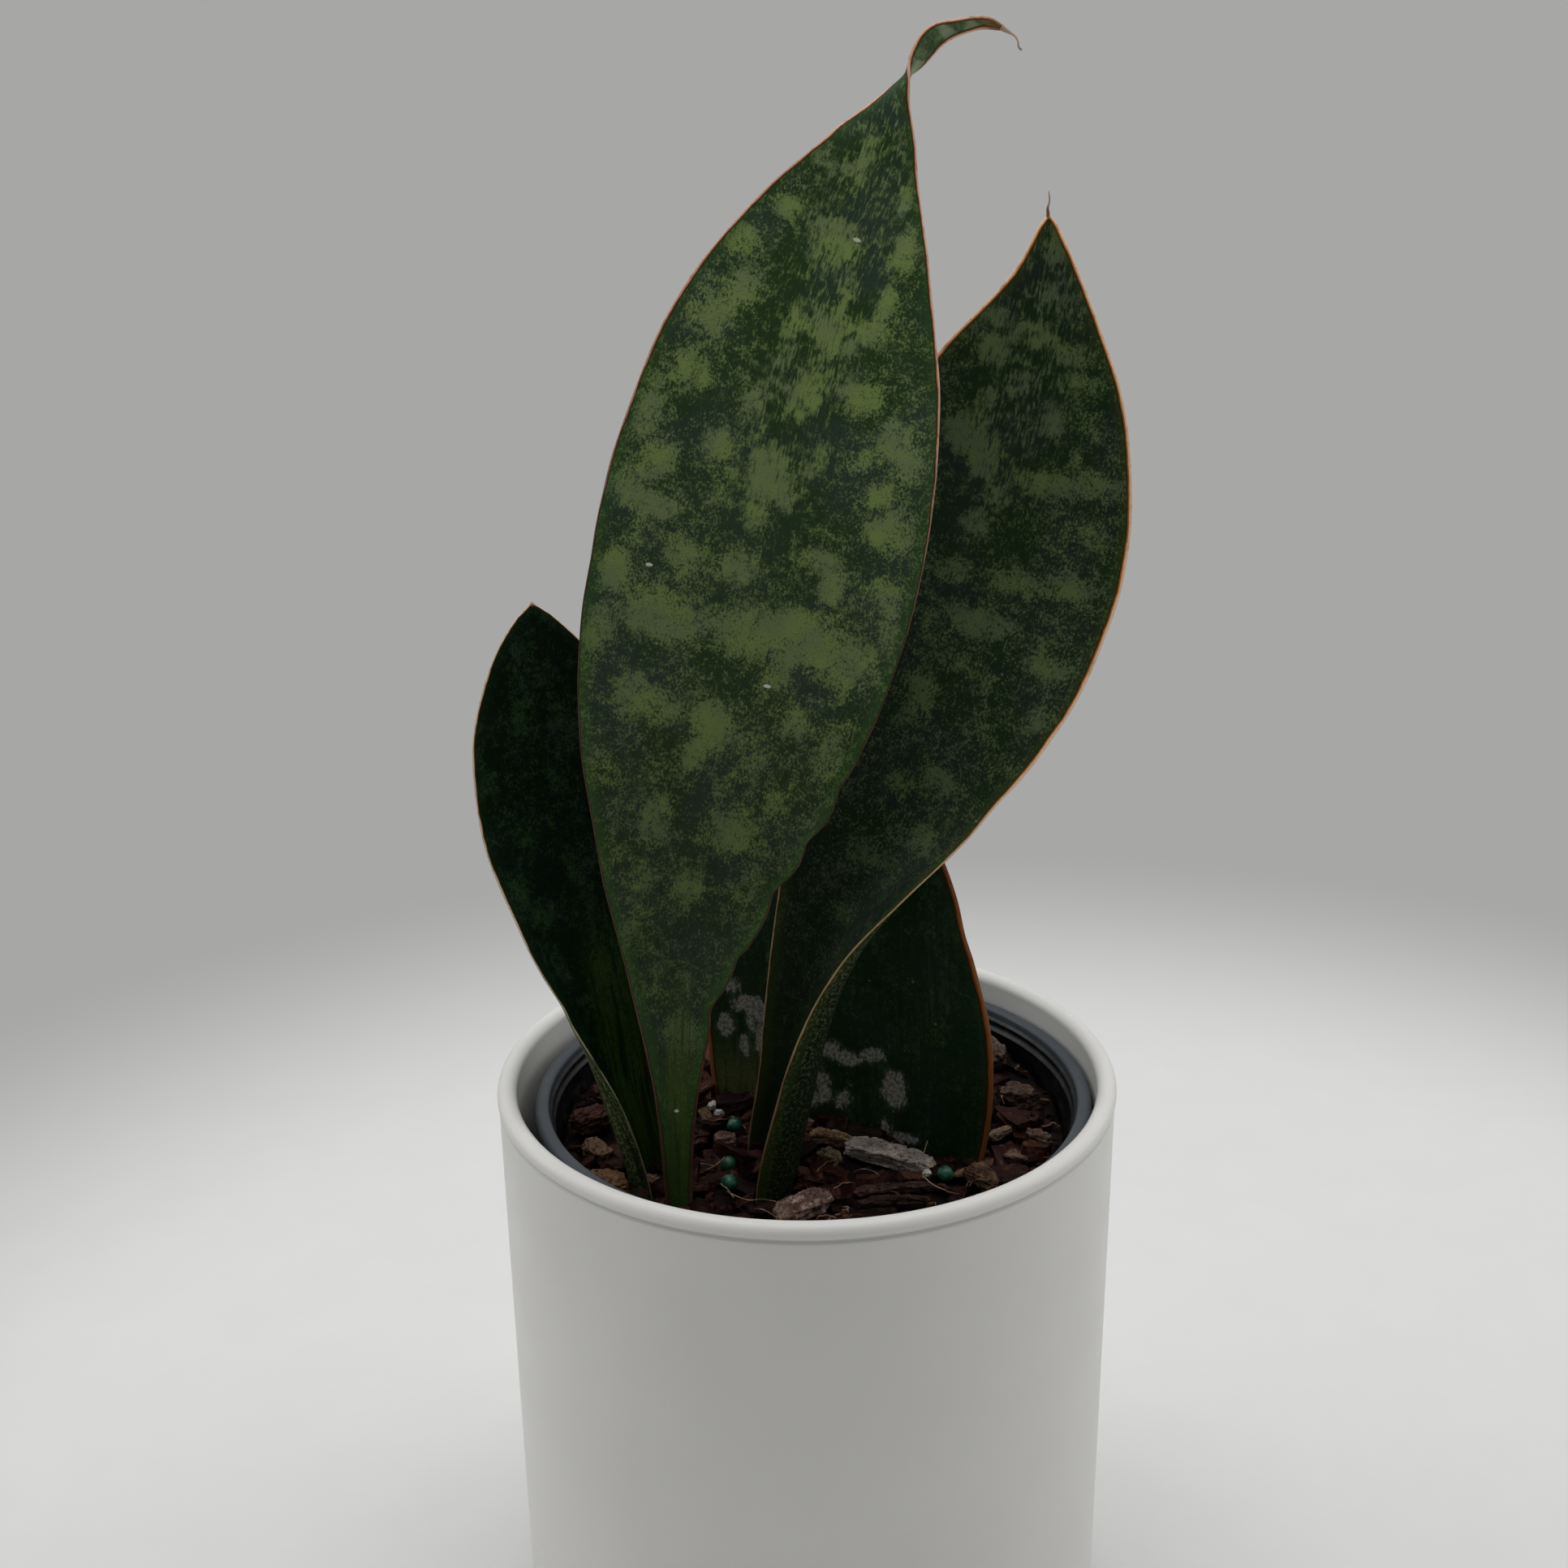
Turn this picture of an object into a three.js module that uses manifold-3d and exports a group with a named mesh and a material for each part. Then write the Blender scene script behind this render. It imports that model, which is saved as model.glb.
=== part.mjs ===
// Potted snake plant: a white glazed cover pot, the black nursery pot standing in it, bark potting mix,
// loose pieces lying on the mix and four broad leaves. Millimetres, +Z up, origin at the centre of the
// cover pot's underside, the front of the plant towards -Y.
import * as THREE from 'three';
import { mergeVertices } from 'three/addons/utils/BufferGeometryUtils.js';
import Module from 'manifold-3d';

const wasm = await Module();
wasm.setup();

// ---- driving dimensions ----
const GAP = 0.35;                      // clearance left between touching pieces
const COVER_HEIGHT = 116;
const COVER_RIM_RADIUS = 60;
const COVER_WALL = 3.8;
const COVER_FLOOR = 5;
const COVER_TAPER = Math.tan(THREE.MathUtils.degToRad(0.5));
const COVER_STEP = 0.3;                // how far the rolled rim stands proud of the wall
const COVER_FOOT_ROUND = 3;

const NURSERY_OFFSET = [1.2, 0.6];     // the inner pot stands slightly off centre
const NURSERY_LIP_RADIUS = 54.2;
const NURSERY_LIP_TOP = 111;
const NURSERY_LIP_HEIGHT = 4.5;
const NURSERY_WALL = 1.2;
const NURSERY_BASE_RADIUS = 40.5;
const NURSERY_INNER_TOP = 50.6;        // inner radius just under the lip
const DRAIN_HOLE_RADIUS = 4;
const DRAIN_HOLE_CIRCLE = 30;
const DRAIN_HOLES = 6;

const MIX_LEVEL = 102;
const MIX_SLOPE = 0.09;                // the mix is banked up towards the back
const MIX_BUMP = 0.7;
const MIX_ROUGHNESS = 0.35;
const MIX_EDGE = NURSERY_INNER_TOP - 0.7;
const MIX_RINGS = 11;

const MARGIN_THINNING = 0.65;          // share of the blade's thickness lost at its margins
const ROWS_PER_STATION = 3;
const LEAF_COLUMNS = 10;

// ---- leaves ----
// Each row is one cross-section from the foot in the mix to the tip: midrib x, y, z, half-width left and
// right of the midrib, direction faced in degrees (0 is -Y), cupping at the margins in degrees, thickness.
const LEAVES = {
  leaf_tall: [
    [-24.0, -25.0, 86.0, 2.6, 2.6, 0, 50, 3.4],
    [-24.3, -23.5, 100.0, 2.6, 2.6, 0, 50, 3.4],
    [-24.2, -20.5, 124.0, 4.9, 4.9, 0, 45, 3.0],
    [-23.2, -17.5, 143.0, 10.0, 9.2, 0, 35, 2.8],
    [-20.5, -15.0, 159.0, 17.0, 15.0, 0, 26, 2.6],
    [-15.5, -11.5, 180.0, 25.5, 22.0, 0, 20, 2.4],
    [-10.0, -8.0, 204.0, 30.0, 27.0, 0, 18, 2.2],
    [-4.5, -4.5, 229.0, 30.0, 28.0, 0, 18, 2.0],
    [2.0, -1.0, 254.0, 26.0, 23.5, 0, 18, 1.9],
    [9.0, 3.0, 274.0, 17.5, 14.5, 0, 16, 1.8],
    [14.8, 6.0, 289.0, 8.0, 6.2, 0, 10, 1.6],
    [18.2, 7.5, 298.0, 2.0, 2.0, -50, 0, 1.3],
    [20.8, 8.5, 302.3, 2.0, 2.0, -140, 0, 1.2],
    [24.0, 9.0, 306.0, 2.0, 2.0, -180, 0, 1.1],
    [28.0, 9.2, 307.4, 1.4, 1.4, -180, 0, 1.0],
    [32.5, 9.2, 308.0, 1.1, 1.1, -180, 0, 1.0],
    [36.0, 9.2, 306.8, 0.6, 0.6, -180, 0, 0.8],
  ],
  leaf_right: [
    [-4.0, -13.5, 86.0, 11.0, 11.0, -84, 92, 3.0],
    [-3.5, -12.5, 100.0, 11.5, 11.5, -82, 92, 3.0],
    [0.0, -10.5, 118.0, 11.8, 11.8, -75, 91, 2.6],
    [4.5, -6.0, 139.0, 13.0, 13.0, -54, 78, 2.5],
    [10.5, -1.5, 156.0, 16.0, 16.0, -35, 58, 2.5],
    [17.5, 2.5, 174.0, 20.0, 20.5, -20, 38, 2.4],
    [26.5, 6.0, 199.0, 25.0, 27.0, -10, 26, 2.2],
    [34.0, 9.5, 224.0, 26.0, 27.0, -5, 20, 2.0],
    [40.5, 12.5, 249.0, 15.5, 18.0, -5, 16, 1.9],
    [43.8, 14.5, 265.0, 5.5, 7.2, -5, 12, 1.7],
    [44.8, 15.3, 276.0, 0.6, 0.6, -5, 0, 1.2],
  ],
  leaf_left: [
    [-31.5, -13.5, 86.0, 10.0, 10.0, 70, 75, 2.8],
    [-32.5, -12.5, 100.0, 10.0, 10.0, 70, 75, 2.8],
    [-36.0, -10.0, 114.0, 11.0, 11.0, 66, 72, 2.8],
    [-39.0, -6.5, 132.0, 12.5, 12.5, 42, 55, 2.6],
    [-42.5, -3.0, 150.0, 14.5, 15.0, 28, 38, 2.4],
    [-45.5, 0.0, 170.0, 16.5, 17.0, 20, 26, 2.2],
    [-47.5, 2.5, 190.0, 13.5, 14.0, 16, 18, 2.0],
    [-48.8, 4.0, 202.0, 6.8, 7.2, 14, 12, 1.8],
    [-49.3, 4.8, 209.0, 0.8, 0.8, 14, 0, 1.2],
  ],
  leaf_back: [
    [7.0, 2.0, 84.0, 24.0, 26.0, -26, 6, 3.2],
    [7.0, 4.0, 100.0, 27.5, 31.0, -26, 6, 3.2],
    [7.0, 6.0, 116.0, 29.0, 33.0, -26, 8, 3.0],
    [6.5, 9.0, 136.0, 28.0, 31.0, -26, 12, 2.8],
    [6.0, 12.0, 156.0, 23.0, 24.5, -26, 14, 2.4],
    [5.0, 14.5, 174.0, 13.5, 14.0, -26, 12, 2.0],
    [4.5, 16.0, 188.0, 1.5, 1.5, -26, 0, 1.4],
  ],
};
const EMBEDDED_STATIONS = 3;           // cross-sections needed to cut a leaf's foot out of the mix

// ---- loose pieces on the mix: place in plan, heading and tilt in degrees, length, width, height ----
const BARK = {
  bark_grey_slab: { at: [16, -11], heading: -24, tilt: 4, size: [17.5, 5, 3.2], color: 0xa39a8c },
  bark_pink_flake: { at: [-0.8, -25.5], heading: 32, tilt: -8, size: [12, 7.5, 3], color: 0x9c8078 },
  bark_brown_block: { at: [-38.3, -20.4], heading: 12, tilt: 6, size: [8.6, 6.4, 4.4], color: 0x8a6a4e },
  bark_red_block: { at: [-42.3, 2.5], heading: 36, tilt: 3, size: [8, 5.6, 4], color: 0x7b4a39 },
  bark_long_sliver: { at: [17, -20.6], heading: 9, tilt: 2, size: [19, 2.4, 2], color: 0x4a2a24 },
  bark_dark_sliver: { at: [15.5, -25], heading: 3, tilt: -2, size: [13, 2.4, 2], color: 0x3f2520 },
  bark_light_splinter: { at: [38.5, -2.5], heading: 46, tilt: 8, size: [8.6, 2.2, 1.8], color: 0xa48c74 },
  bark_tan_chip: { at: [5, -3.2], heading: -18, tilt: 0, size: [9.4, 3.4, 2.6], color: 0xa5876a },
  bark_tan_crumb: { at: [4.6, -10.2], heading: -43, tilt: 4, size: [4.8, 3, 2.4], color: 0xa28a70 },
  bark_pink_cube: { at: [-16, -4], heading: 9, tilt: 0, size: [4.2, 3.6, 3], color: 0x96736a },
  bark_back_block: { at: [38.2, 25.4], heading: -63, tilt: 5, size: [9.6, 6, 4], color: 0x7d6b5b },
  bark_right_block: { at: [43, 11.6], heading: -33, tilt: -4, size: [7, 5, 3.6], color: 0x8b7364 },
  bark_right_chip: { at: [45.2, -4.6], heading: -45, tilt: 0, size: [5.8, 2.8, 2.2], color: 0x8f7464 },
  bark_front_chip: { at: [33.5, -18], heading: -55, tilt: 5, size: [8, 5, 3.2], color: 0x7c5a48 },
  bark_flat_chip: { at: [40.3, -10.6], heading: -23, tilt: 0, size: [4.6, 2.6, 2], color: 0x94796a },
  bark_left_chip: { at: [-40.5, 13.5], heading: -60, tilt: -5, size: [8.6, 4.8, 3.6], color: 0x70493b },
  bark_left_crumb: { at: [-40.6, -6.6], heading: -58, tilt: 4, size: [7, 4, 3], color: 0x6b4234 },
};
const PRILLS = {
  fertiliser_prill_1: [26, -17],
  fertiliser_prill_2: [-14.2, 1.3],
  fertiliser_prill_3: [-15.2, -12],
  fertiliser_prill_4: [-15, -19.5],
};
const PRILL_RADIUS = 1.65;
const FINE_FLAKE_LENGTH = 6;           // longer pieces get the finer mesh
const PERLITE = {
  perlite_1: { at: [-18.5, 9.5], size: [2.8, 2.4, 2.2] },
  perlite_2: { at: [22.6, -16.4], size: [2, 1.8, 1.6] },
  perlite_3: { at: [-17.4, 4.4], size: [2.2, 2, 1.8] },
};

// ---- shared helpers ----
function material(color, roughness) {
  return new THREE.MeshStandardMaterial({ color, roughness, metalness: 0 });
}

function weld(geometry) {
  geometry.deleteAttribute('normal');
  geometry.deleteAttribute('uv');
  return mergeVertices(geometry, 1e-4);
}

function toSolid(geometry) {
  const welded = weld(geometry.clone());
  return new wasm.Manifold(new wasm.Mesh({
    numProp: 3,
    vertProperties: new Float32Array(welded.attributes.position.array),
    triVerts: new Uint32Array(welded.index.array),
  }));
}

function fromSolid(solid) {
  const mesh = solid.getMesh();
  const geometry = new THREE.BufferGeometry();
  geometry.setAttribute('position', new THREE.BufferAttribute(mesh.vertProperties, 3));
  geometry.setIndex(new THREE.BufferAttribute(mesh.triVerts, 1));
  geometry.computeVertexNormals();
  return geometry;
}

function subtractAll(geometry, cutters) {
  let solid = toSolid(geometry);
  for (const cutter of cutters) {
    solid = solid.subtract(toSolid(cutter));
  }
  return fromSolid(solid);
}

function arc(cx, cy, radius, fromDeg, toDeg, steps) {
  const points = [];
  for (let i = 0; i <= steps; i += 1) {
    const angle = THREE.MathUtils.degToRad(fromDeg + (toDeg - fromDeg) * i / steps);
    points.push([cx + radius * Math.cos(angle), cy + radius * Math.sin(angle)]);
  }
  return points;
}

// Turns a radius-height profile about the Z axis.
function turned(profile, segments) {
  const points = profile.map(([r, z]) => new THREE.Vector2(r, z));
  const geometry = new THREE.LatheGeometry(points, segments);
  geometry.rotateX(Math.PI / 2);
  return weld(geometry);
}

function moveVertices(geometry, move) {
  const position = geometry.attributes.position;
  const point = new THREE.Vector3();
  for (let i = 0; i < position.count; i += 1) {
    point.fromBufferAttribute(position, i);
    move(point);
    position.setXYZ(i, point.x, point.y, point.z);
  }
  geometry.computeVertexNormals();
  return geometry;
}

// A repeatable value in -1..1 for a place, used to roughen the natural pieces.
function grain(x, y, z) {
  const value = Math.sin(x * 12.9898 + y * 78.233 + z * 37.719) * 43758.5453;
  return 2 * (value - Math.floor(value)) - 1;
}

// ---- pots ----
function coverPot() {
  const bead = COVER_WALL / 2;
  const beadZ = COVER_HEIGHT - bead;
  const wallTop = COVER_RIM_RADIUS - COVER_STEP;
  const foot = wallTop - beadZ * COVER_TAPER;
  const innerTop = COVER_RIM_RADIUS - COVER_WALL;
  const innerFoot = innerTop - beadZ * COVER_TAPER;
  const profile = [
    [0, 0],
    ...arc(foot - COVER_FOOT_ROUND, COVER_FOOT_ROUND, COVER_FOOT_ROUND, -90, 0, 3),
    [wallTop, beadZ - 1.2],
    [wallTop + 0.05, beadZ - 0.8],
    ...arc(COVER_RIM_RADIUS - bead, beadZ, bead, -10, 180, 8),
    ...arc(innerFoot - COVER_FOOT_ROUND, COVER_FLOOR + COVER_FOOT_ROUND, COVER_FOOT_ROUND, 0, -90, 2),
    [0, COVER_FLOOR],
  ];
  return turned(profile, 80);
}

function nurseryPot() {
  const base = COVER_FLOOR + GAP;
  const lipFoot = NURSERY_LIP_TOP - NURSERY_LIP_HEIGHT;
  const wallTop = NURSERY_INNER_TOP + NURSERY_WALL;
  const lipInner = NURSERY_INNER_TOP + 0.8;
  const innerBase = NURSERY_BASE_RADIUS - NURSERY_WALL;
  const profile = [
    [0, base],
    [NURSERY_BASE_RADIUS - 1.5, base],
    [NURSERY_BASE_RADIUS, base + 1.5],
    [wallTop, lipFoot - 1],
    [NURSERY_LIP_RADIUS - 0.5, lipFoot],
    [NURSERY_LIP_RADIUS, lipFoot + 0.8],
    ...arc(NURSERY_LIP_RADIUS - 1.2, NURSERY_LIP_TOP - 1.2, 1.2, 0, 90, 3),
    ...arc(lipInner + 0.8, NURSERY_LIP_TOP - 0.8, 0.8, 90, 180, 2),
    ...innerRidge(lipInner, lipFoot + 1.9),
    ...innerRidge(NURSERY_INNER_TOP + 0.3, lipFoot),
    [innerBase, base + NURSERY_WALL + 1.5],
    [innerBase - 1.5, base + NURSERY_WALL],
    [0, base + NURSERY_WALL],
  ];
  const pot = turned(profile, 60);
  const drains = [];
  for (let i = 0; i < DRAIN_HOLES; i += 1) {
    const angle = 2 * Math.PI * i / DRAIN_HOLES;
    const drain = new THREE.CylinderGeometry(DRAIN_HOLE_RADIUS, DRAIN_HOLE_RADIUS, 6, 16);
    drain.rotateX(Math.PI / 2);
    drain.translate(DRAIN_HOLE_CIRCLE * Math.cos(angle), DRAIN_HOLE_CIRCLE * Math.sin(angle), base);
    drains.push(drain);
  }
  return subtractAll(pot, drains);
}

// Inner radius of the nursery pot's tapered wall at a height.
function nurseryInner(z) {
  const foot = COVER_FLOOR + GAP + NURSERY_WALL + 1.5;
  const share = (z - foot) / (NURSERY_LIP_TOP - NURSERY_LIP_HEIGHT - foot);
  return THREE.MathUtils.lerp(NURSERY_BASE_RADIUS - NURSERY_WALL, NURSERY_INNER_TOP, Math.min(share, 1));
}

// A low moulded ring on the inside of the nursery pot's wall.
function innerRidge(radius, z) {
  return [
    [radius - 0.1, z + 0.8],
    [radius - 0.6, z + 0.4],
    [radius - 0.3, z - 0.2],
  ];
}

// ---- potting mix ----
function mixHeight(x, y) {
  const bumps = Math.sin(0.31 * x + 1.3) * Math.cos(0.27 * y - 0.6) + 0.6 * Math.sin(0.53 * x - 0.47 * y);
  return MIX_LEVEL + MIX_SLOPE * y + MIX_BUMP * bumps;
}

function pottingMix(cutters) {
  const floor = COVER_FLOOR + GAP + NURSERY_WALL + GAP;
  const innerBase = NURSERY_BASE_RADIUS - NURSERY_WALL;
  const profile = [[0, floor], [innerBase - 2.2, floor], [innerBase - 0.6, floor + 1.8]];
  for (let i = 0; i < MIX_RINGS; i += 1) {
    profile.push([MIX_EDGE * (1 - i / MIX_RINGS), MIX_LEVEL]);
  }
  profile.push([0, MIX_LEVEL]);
  const mix = turned(profile, 60);
  mix.translate(NURSERY_OFFSET[0], NURSERY_OFFSET[1], 0);
  moveVertices(mix, (point) => {
    if (point.z > MIX_LEVEL - 1) {
      point.z = mixHeight(point.x, point.y) + MIX_ROUGHNESS * grain(point.x, point.y, 0);
      const [centreX, centreY] = NURSERY_OFFSET;
      const fit = Math.min(1, (nurseryInner(point.z) - 2 * GAP) / Math.hypot(point.x - centreX, point.y - centreY));
      point.x = centreX + (point.x - centreX) * fit;
      point.y = centreY + (point.y - centreY) * fit;
    }
  });
  return subtractAll(mix, cutters);
}

// ---- leaves ----
// Slopes for a smooth curve through the rows, by distance along the midrib.
function rowSlopes(rows, along) {
  return rows.map((row, i) => {
    const before = Math.max(i - 1, 0);
    const after = Math.min(i + 1, rows.length - 1);
    if (before === i || after === i) {
      return row.map((_, k) => (rows[after][k] - rows[before][k]) / (along[after] - along[before]));
    }
    const back = along[i] - along[before];
    const ahead = along[after] - along[i];
    return row.map((value, k) => {
      const slopeBack = (value - rows[before][k]) / back;
      const slopeAhead = (rows[after][k] - value) / ahead;
      return (slopeBack * ahead + slopeAhead * back) / (back + ahead);
    });
  });
}

// Cross-section frames at even steps between the given rows.
function leafSections(rows) {
  const along = [0];
  for (let i = 1; i < rows.length; i += 1) {
    const step = Math.hypot(...[0, 1, 2].map((k) => rows[i][k] - rows[i - 1][k]));
    along.push(along[i - 1] + step);
  }
  const slopes = rowSlopes(rows, along);
  const sections = [];
  const last = (rows.length - 1) * ROWS_PER_STATION;
  for (let n = 0; n <= last; n += 1) {
    const i = Math.min(Math.floor(n / ROWS_PER_STATION), rows.length - 2);
    const q = n / ROWS_PER_STATION - i;
    const span = along[i + 1] - along[i];
    const values = rows[i].map((_, k) => hermite(q, rows[i][k], slopes[i][k] * span, rows[i + 1][k],
      slopes[i + 1][k] * span));
    const heading = [0, 1, 2].map((k) => hermiteSlope(q, rows[i][k], slopes[i][k] * span,
      rows[i + 1][k], slopes[i + 1][k] * span));
    sections.push(sectionFrame(values, heading));
  }
  return sections;
}

function hermite(q, a, slopeA, b, slopeB) {
  const q2 = q * q;
  const q3 = q2 * q;
  return (2 * q3 - 3 * q2 + 1) * a + (q3 - 2 * q2 + q) * slopeA + (3 * q2 - 2 * q3) * b + (q3 - q2) * slopeB;
}

function hermiteSlope(q, a, slopeA, b, slopeB) {
  const q2 = q * q;
  return (6 * q2 - 6 * q) * (a - b) + (3 * q2 - 4 * q + 1) * slopeA + (3 * q2 - 2 * q) * slopeB;
}

function sectionFrame([x, y, z, left, right, face, cup, thickness], heading) {
  const along = new THREE.Vector3(...heading).normalize();
  const turn = THREE.MathUtils.degToRad(face);
  const front = new THREE.Vector3(Math.sin(turn), -Math.cos(turn), 0);
  front.addScaledVector(along, -front.dot(along)).normalize();
  const side = new THREE.Vector3().crossVectors(along, front);
  const cupping = Math.max(THREE.MathUtils.degToRad(cup), 1e-3);
  return { midrib: new THREE.Vector3(x, y, z), along, front, side, left, right, cupping, thickness };
}

// Bends a fine box into the leaf: box x runs across the blade, y along it and z through it.
function leafGeometry(rows, grow = 0) {
  const sections = leafSections(rows);
  const steps = sections.length - 1;
  const box = weld(new THREE.BoxGeometry(2, 2, 2, LEAF_COLUMNS, steps, 1));
  return moveVertices(box, (point) => {
    const index = Math.round((point.y + 1) / 2 * steps);
    const section = sections[index];
    const across = point.x;
    const reach = (across < 0 ? section.left : section.right) + grow;
    const angle = section.cupping * across;
    const lateral = reach * Math.sin(angle) / section.cupping;
    const rise = reach * (1 - Math.cos(angle)) / section.cupping;
    const thinning = 1 - MARGIN_THINNING * Math.abs(across) ** 2.5;
    const depth = point.z * (section.thickness * thinning / 2 + grow);
    point.copy(section.midrib);
    point.addScaledVector(section.side, lateral - depth * Math.sin(angle));
    point.addScaledVector(section.front, rise + depth * Math.cos(angle));
    if (index === 0) {
      point.addScaledVector(section.along, -grow);
    }
  });
}

// ---- loose pieces ----
// A rounded, roughened flake lying on the mix.
function flake({ at, heading = 0, tilt = 0, size }, grow = 0) {
  const [length, width, height] = size;
  const geometry = weld(new THREE.IcosahedronGeometry(1, length > FINE_FLAKE_LENGTH ? 2 : 1));
  moveVertices(geometry, (point) => {
    const rough = 1 + 0.07 * grain(point.x, point.y, point.z + length);
    const square = (value) => Math.sign(value) * Math.abs(value) ** 0.62;
    const slant = 1 - 0.22 * point.x;
    point.set(
      square(point.x) * (length / 2 * rough + grow),
      square(point.y) * (width / 2 * rough * slant + grow),
      square(point.z) * (height / 2 * rough + grow),
    );
  });
  geometry.rotateY(THREE.MathUtils.degToRad(tilt));
  geometry.rotateZ(THREE.MathUtils.degToRad(heading));
  geometry.translate(at[0], at[1], mixHeight(at[0], at[1]) + height * 0.2);
  return geometry;
}

function prill([x, y], grow = 0) {
  const geometry = new THREE.SphereGeometry(PRILL_RADIUS + grow, 10, 7);
  geometry.translate(x, y, mixHeight(x, y) + PRILL_RADIUS * 0.6);
  return weld(geometry);
}

// ---- assembly ----
const glaze = material(0xf1f0ec, 0.45);
const blackPlastic = material(0x17191d, 0.4);
const darkMix = material(0x3a2620, 0.95);
const leafSkin = material(0x3d5a38, 0.5);
const prillCoat = material(0x1f8f78, 0.45);
const perliteWhite = material(0xe4e1dc, 0.95);

const group = new THREE.Group();

function addMesh(name, geometry, surface) {
  const mesh = new THREE.Mesh(geometry, surface);
  mesh.name = name;
  group.add(mesh);
  return mesh;
}

const mixCutters = [
  ...Object.values(LEAVES).map((rows) => leafGeometry(rows.slice(0, EMBEDDED_STATIONS), GAP)),
  ...Object.values(BARK).map((chip) => flake(chip, GAP)),
  ...Object.values(PRILLS).map((at) => prill(at, GAP)),
  ...Object.values(PERLITE).map((bit) => flake(bit, GAP)),
];

addMesh('cover_pot', coverPot(), glaze);
addMesh('nursery_pot', nurseryPot(), blackPlastic).position.set(...NURSERY_OFFSET, 0);
addMesh('potting_mix', pottingMix(mixCutters), darkMix);
for (const [name, rows] of Object.entries(LEAVES)) {
  addMesh(name, leafGeometry(rows), leafSkin);
}
for (const [name, chip] of Object.entries(BARK)) {
  addMesh(name, flake(chip), material(chip.color, 0.9));
}
for (const [name, at] of Object.entries(PRILLS)) {
  addMesh(name, prill(at), prillCoat);
}
for (const [name, bit] of Object.entries(PERLITE)) {
  addMesh(name, flake(bit), perliteWhite);
}

export default group;
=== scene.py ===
"""Potted snake plant: four broad mottled leaves in bark mix, a black nursery pot and a white cover pot."""

import math
import random

import bmesh
import bpy
from bpy.props import FloatProperty, FloatVectorProperty, IntProperty, PointerProperty
from mathutils import Matrix, Vector, noise
from mathutils.bvhtree import BVHTree


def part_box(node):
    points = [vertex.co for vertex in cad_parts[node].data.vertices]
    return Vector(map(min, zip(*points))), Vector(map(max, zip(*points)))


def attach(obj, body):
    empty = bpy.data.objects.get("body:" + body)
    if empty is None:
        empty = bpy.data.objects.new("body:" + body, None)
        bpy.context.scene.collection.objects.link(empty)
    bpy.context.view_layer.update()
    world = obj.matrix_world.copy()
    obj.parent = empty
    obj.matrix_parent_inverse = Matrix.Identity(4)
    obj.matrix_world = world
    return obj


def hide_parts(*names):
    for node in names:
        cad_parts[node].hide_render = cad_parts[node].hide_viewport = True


bl_info = {
    "name": "Potted Snake Plant",
    "version": (1, 0, 0),
    "blender": (4, 5, 0),
    "location": "View3D > Sidebar > Snake Plant",
    "description": "Builds a broad-leaved snake plant in a nursery pot and a glazed cover pot",
    "category": "Add Mesh",
}

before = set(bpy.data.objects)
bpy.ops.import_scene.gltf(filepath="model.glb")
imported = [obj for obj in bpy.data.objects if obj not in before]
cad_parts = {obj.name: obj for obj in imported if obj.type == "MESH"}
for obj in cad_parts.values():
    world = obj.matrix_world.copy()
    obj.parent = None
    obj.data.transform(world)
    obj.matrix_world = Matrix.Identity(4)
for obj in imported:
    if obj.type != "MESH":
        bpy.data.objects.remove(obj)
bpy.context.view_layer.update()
MM = 0.001
BLACK = (0.0, 0.0, 0.0, 1.0)
PAINTED_LIGHT = (1.6, 1.6, 1.6, 1.0)
PAINTED_SHADE = (0.35, 0.35, 0.35, 1.0)


def srgb(red, green, blue):
    """Turns a colour picked on a 0-255 screen scale into the linear values that shaders use."""
    linear = []
    for level in (red, green, blue):
        share = level / 255
        linear.append(share / 12.92 if share <= 0.04045 else ((share + 0.055) / 1.055) ** 2.4)
    return (*linear, 1.0)


# ---- sizes taken from the frame ----
COVER_LOW, COVER_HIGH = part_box("cover_pot")
NURSERY_LOW, NURSERY_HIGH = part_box("nursery_pot")
MIX_LOW, MIX_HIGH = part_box("potting_mix")
NURSERY_CENTRE = (NURSERY_LOW + NURSERY_HIGH) / 2
MIX_CENTRE = (MIX_LOW + MIX_HIGH) / 2
FOOT_SHARE = 0.79  # radius of the mix at its foot, as a share of its radius at the top

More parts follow.
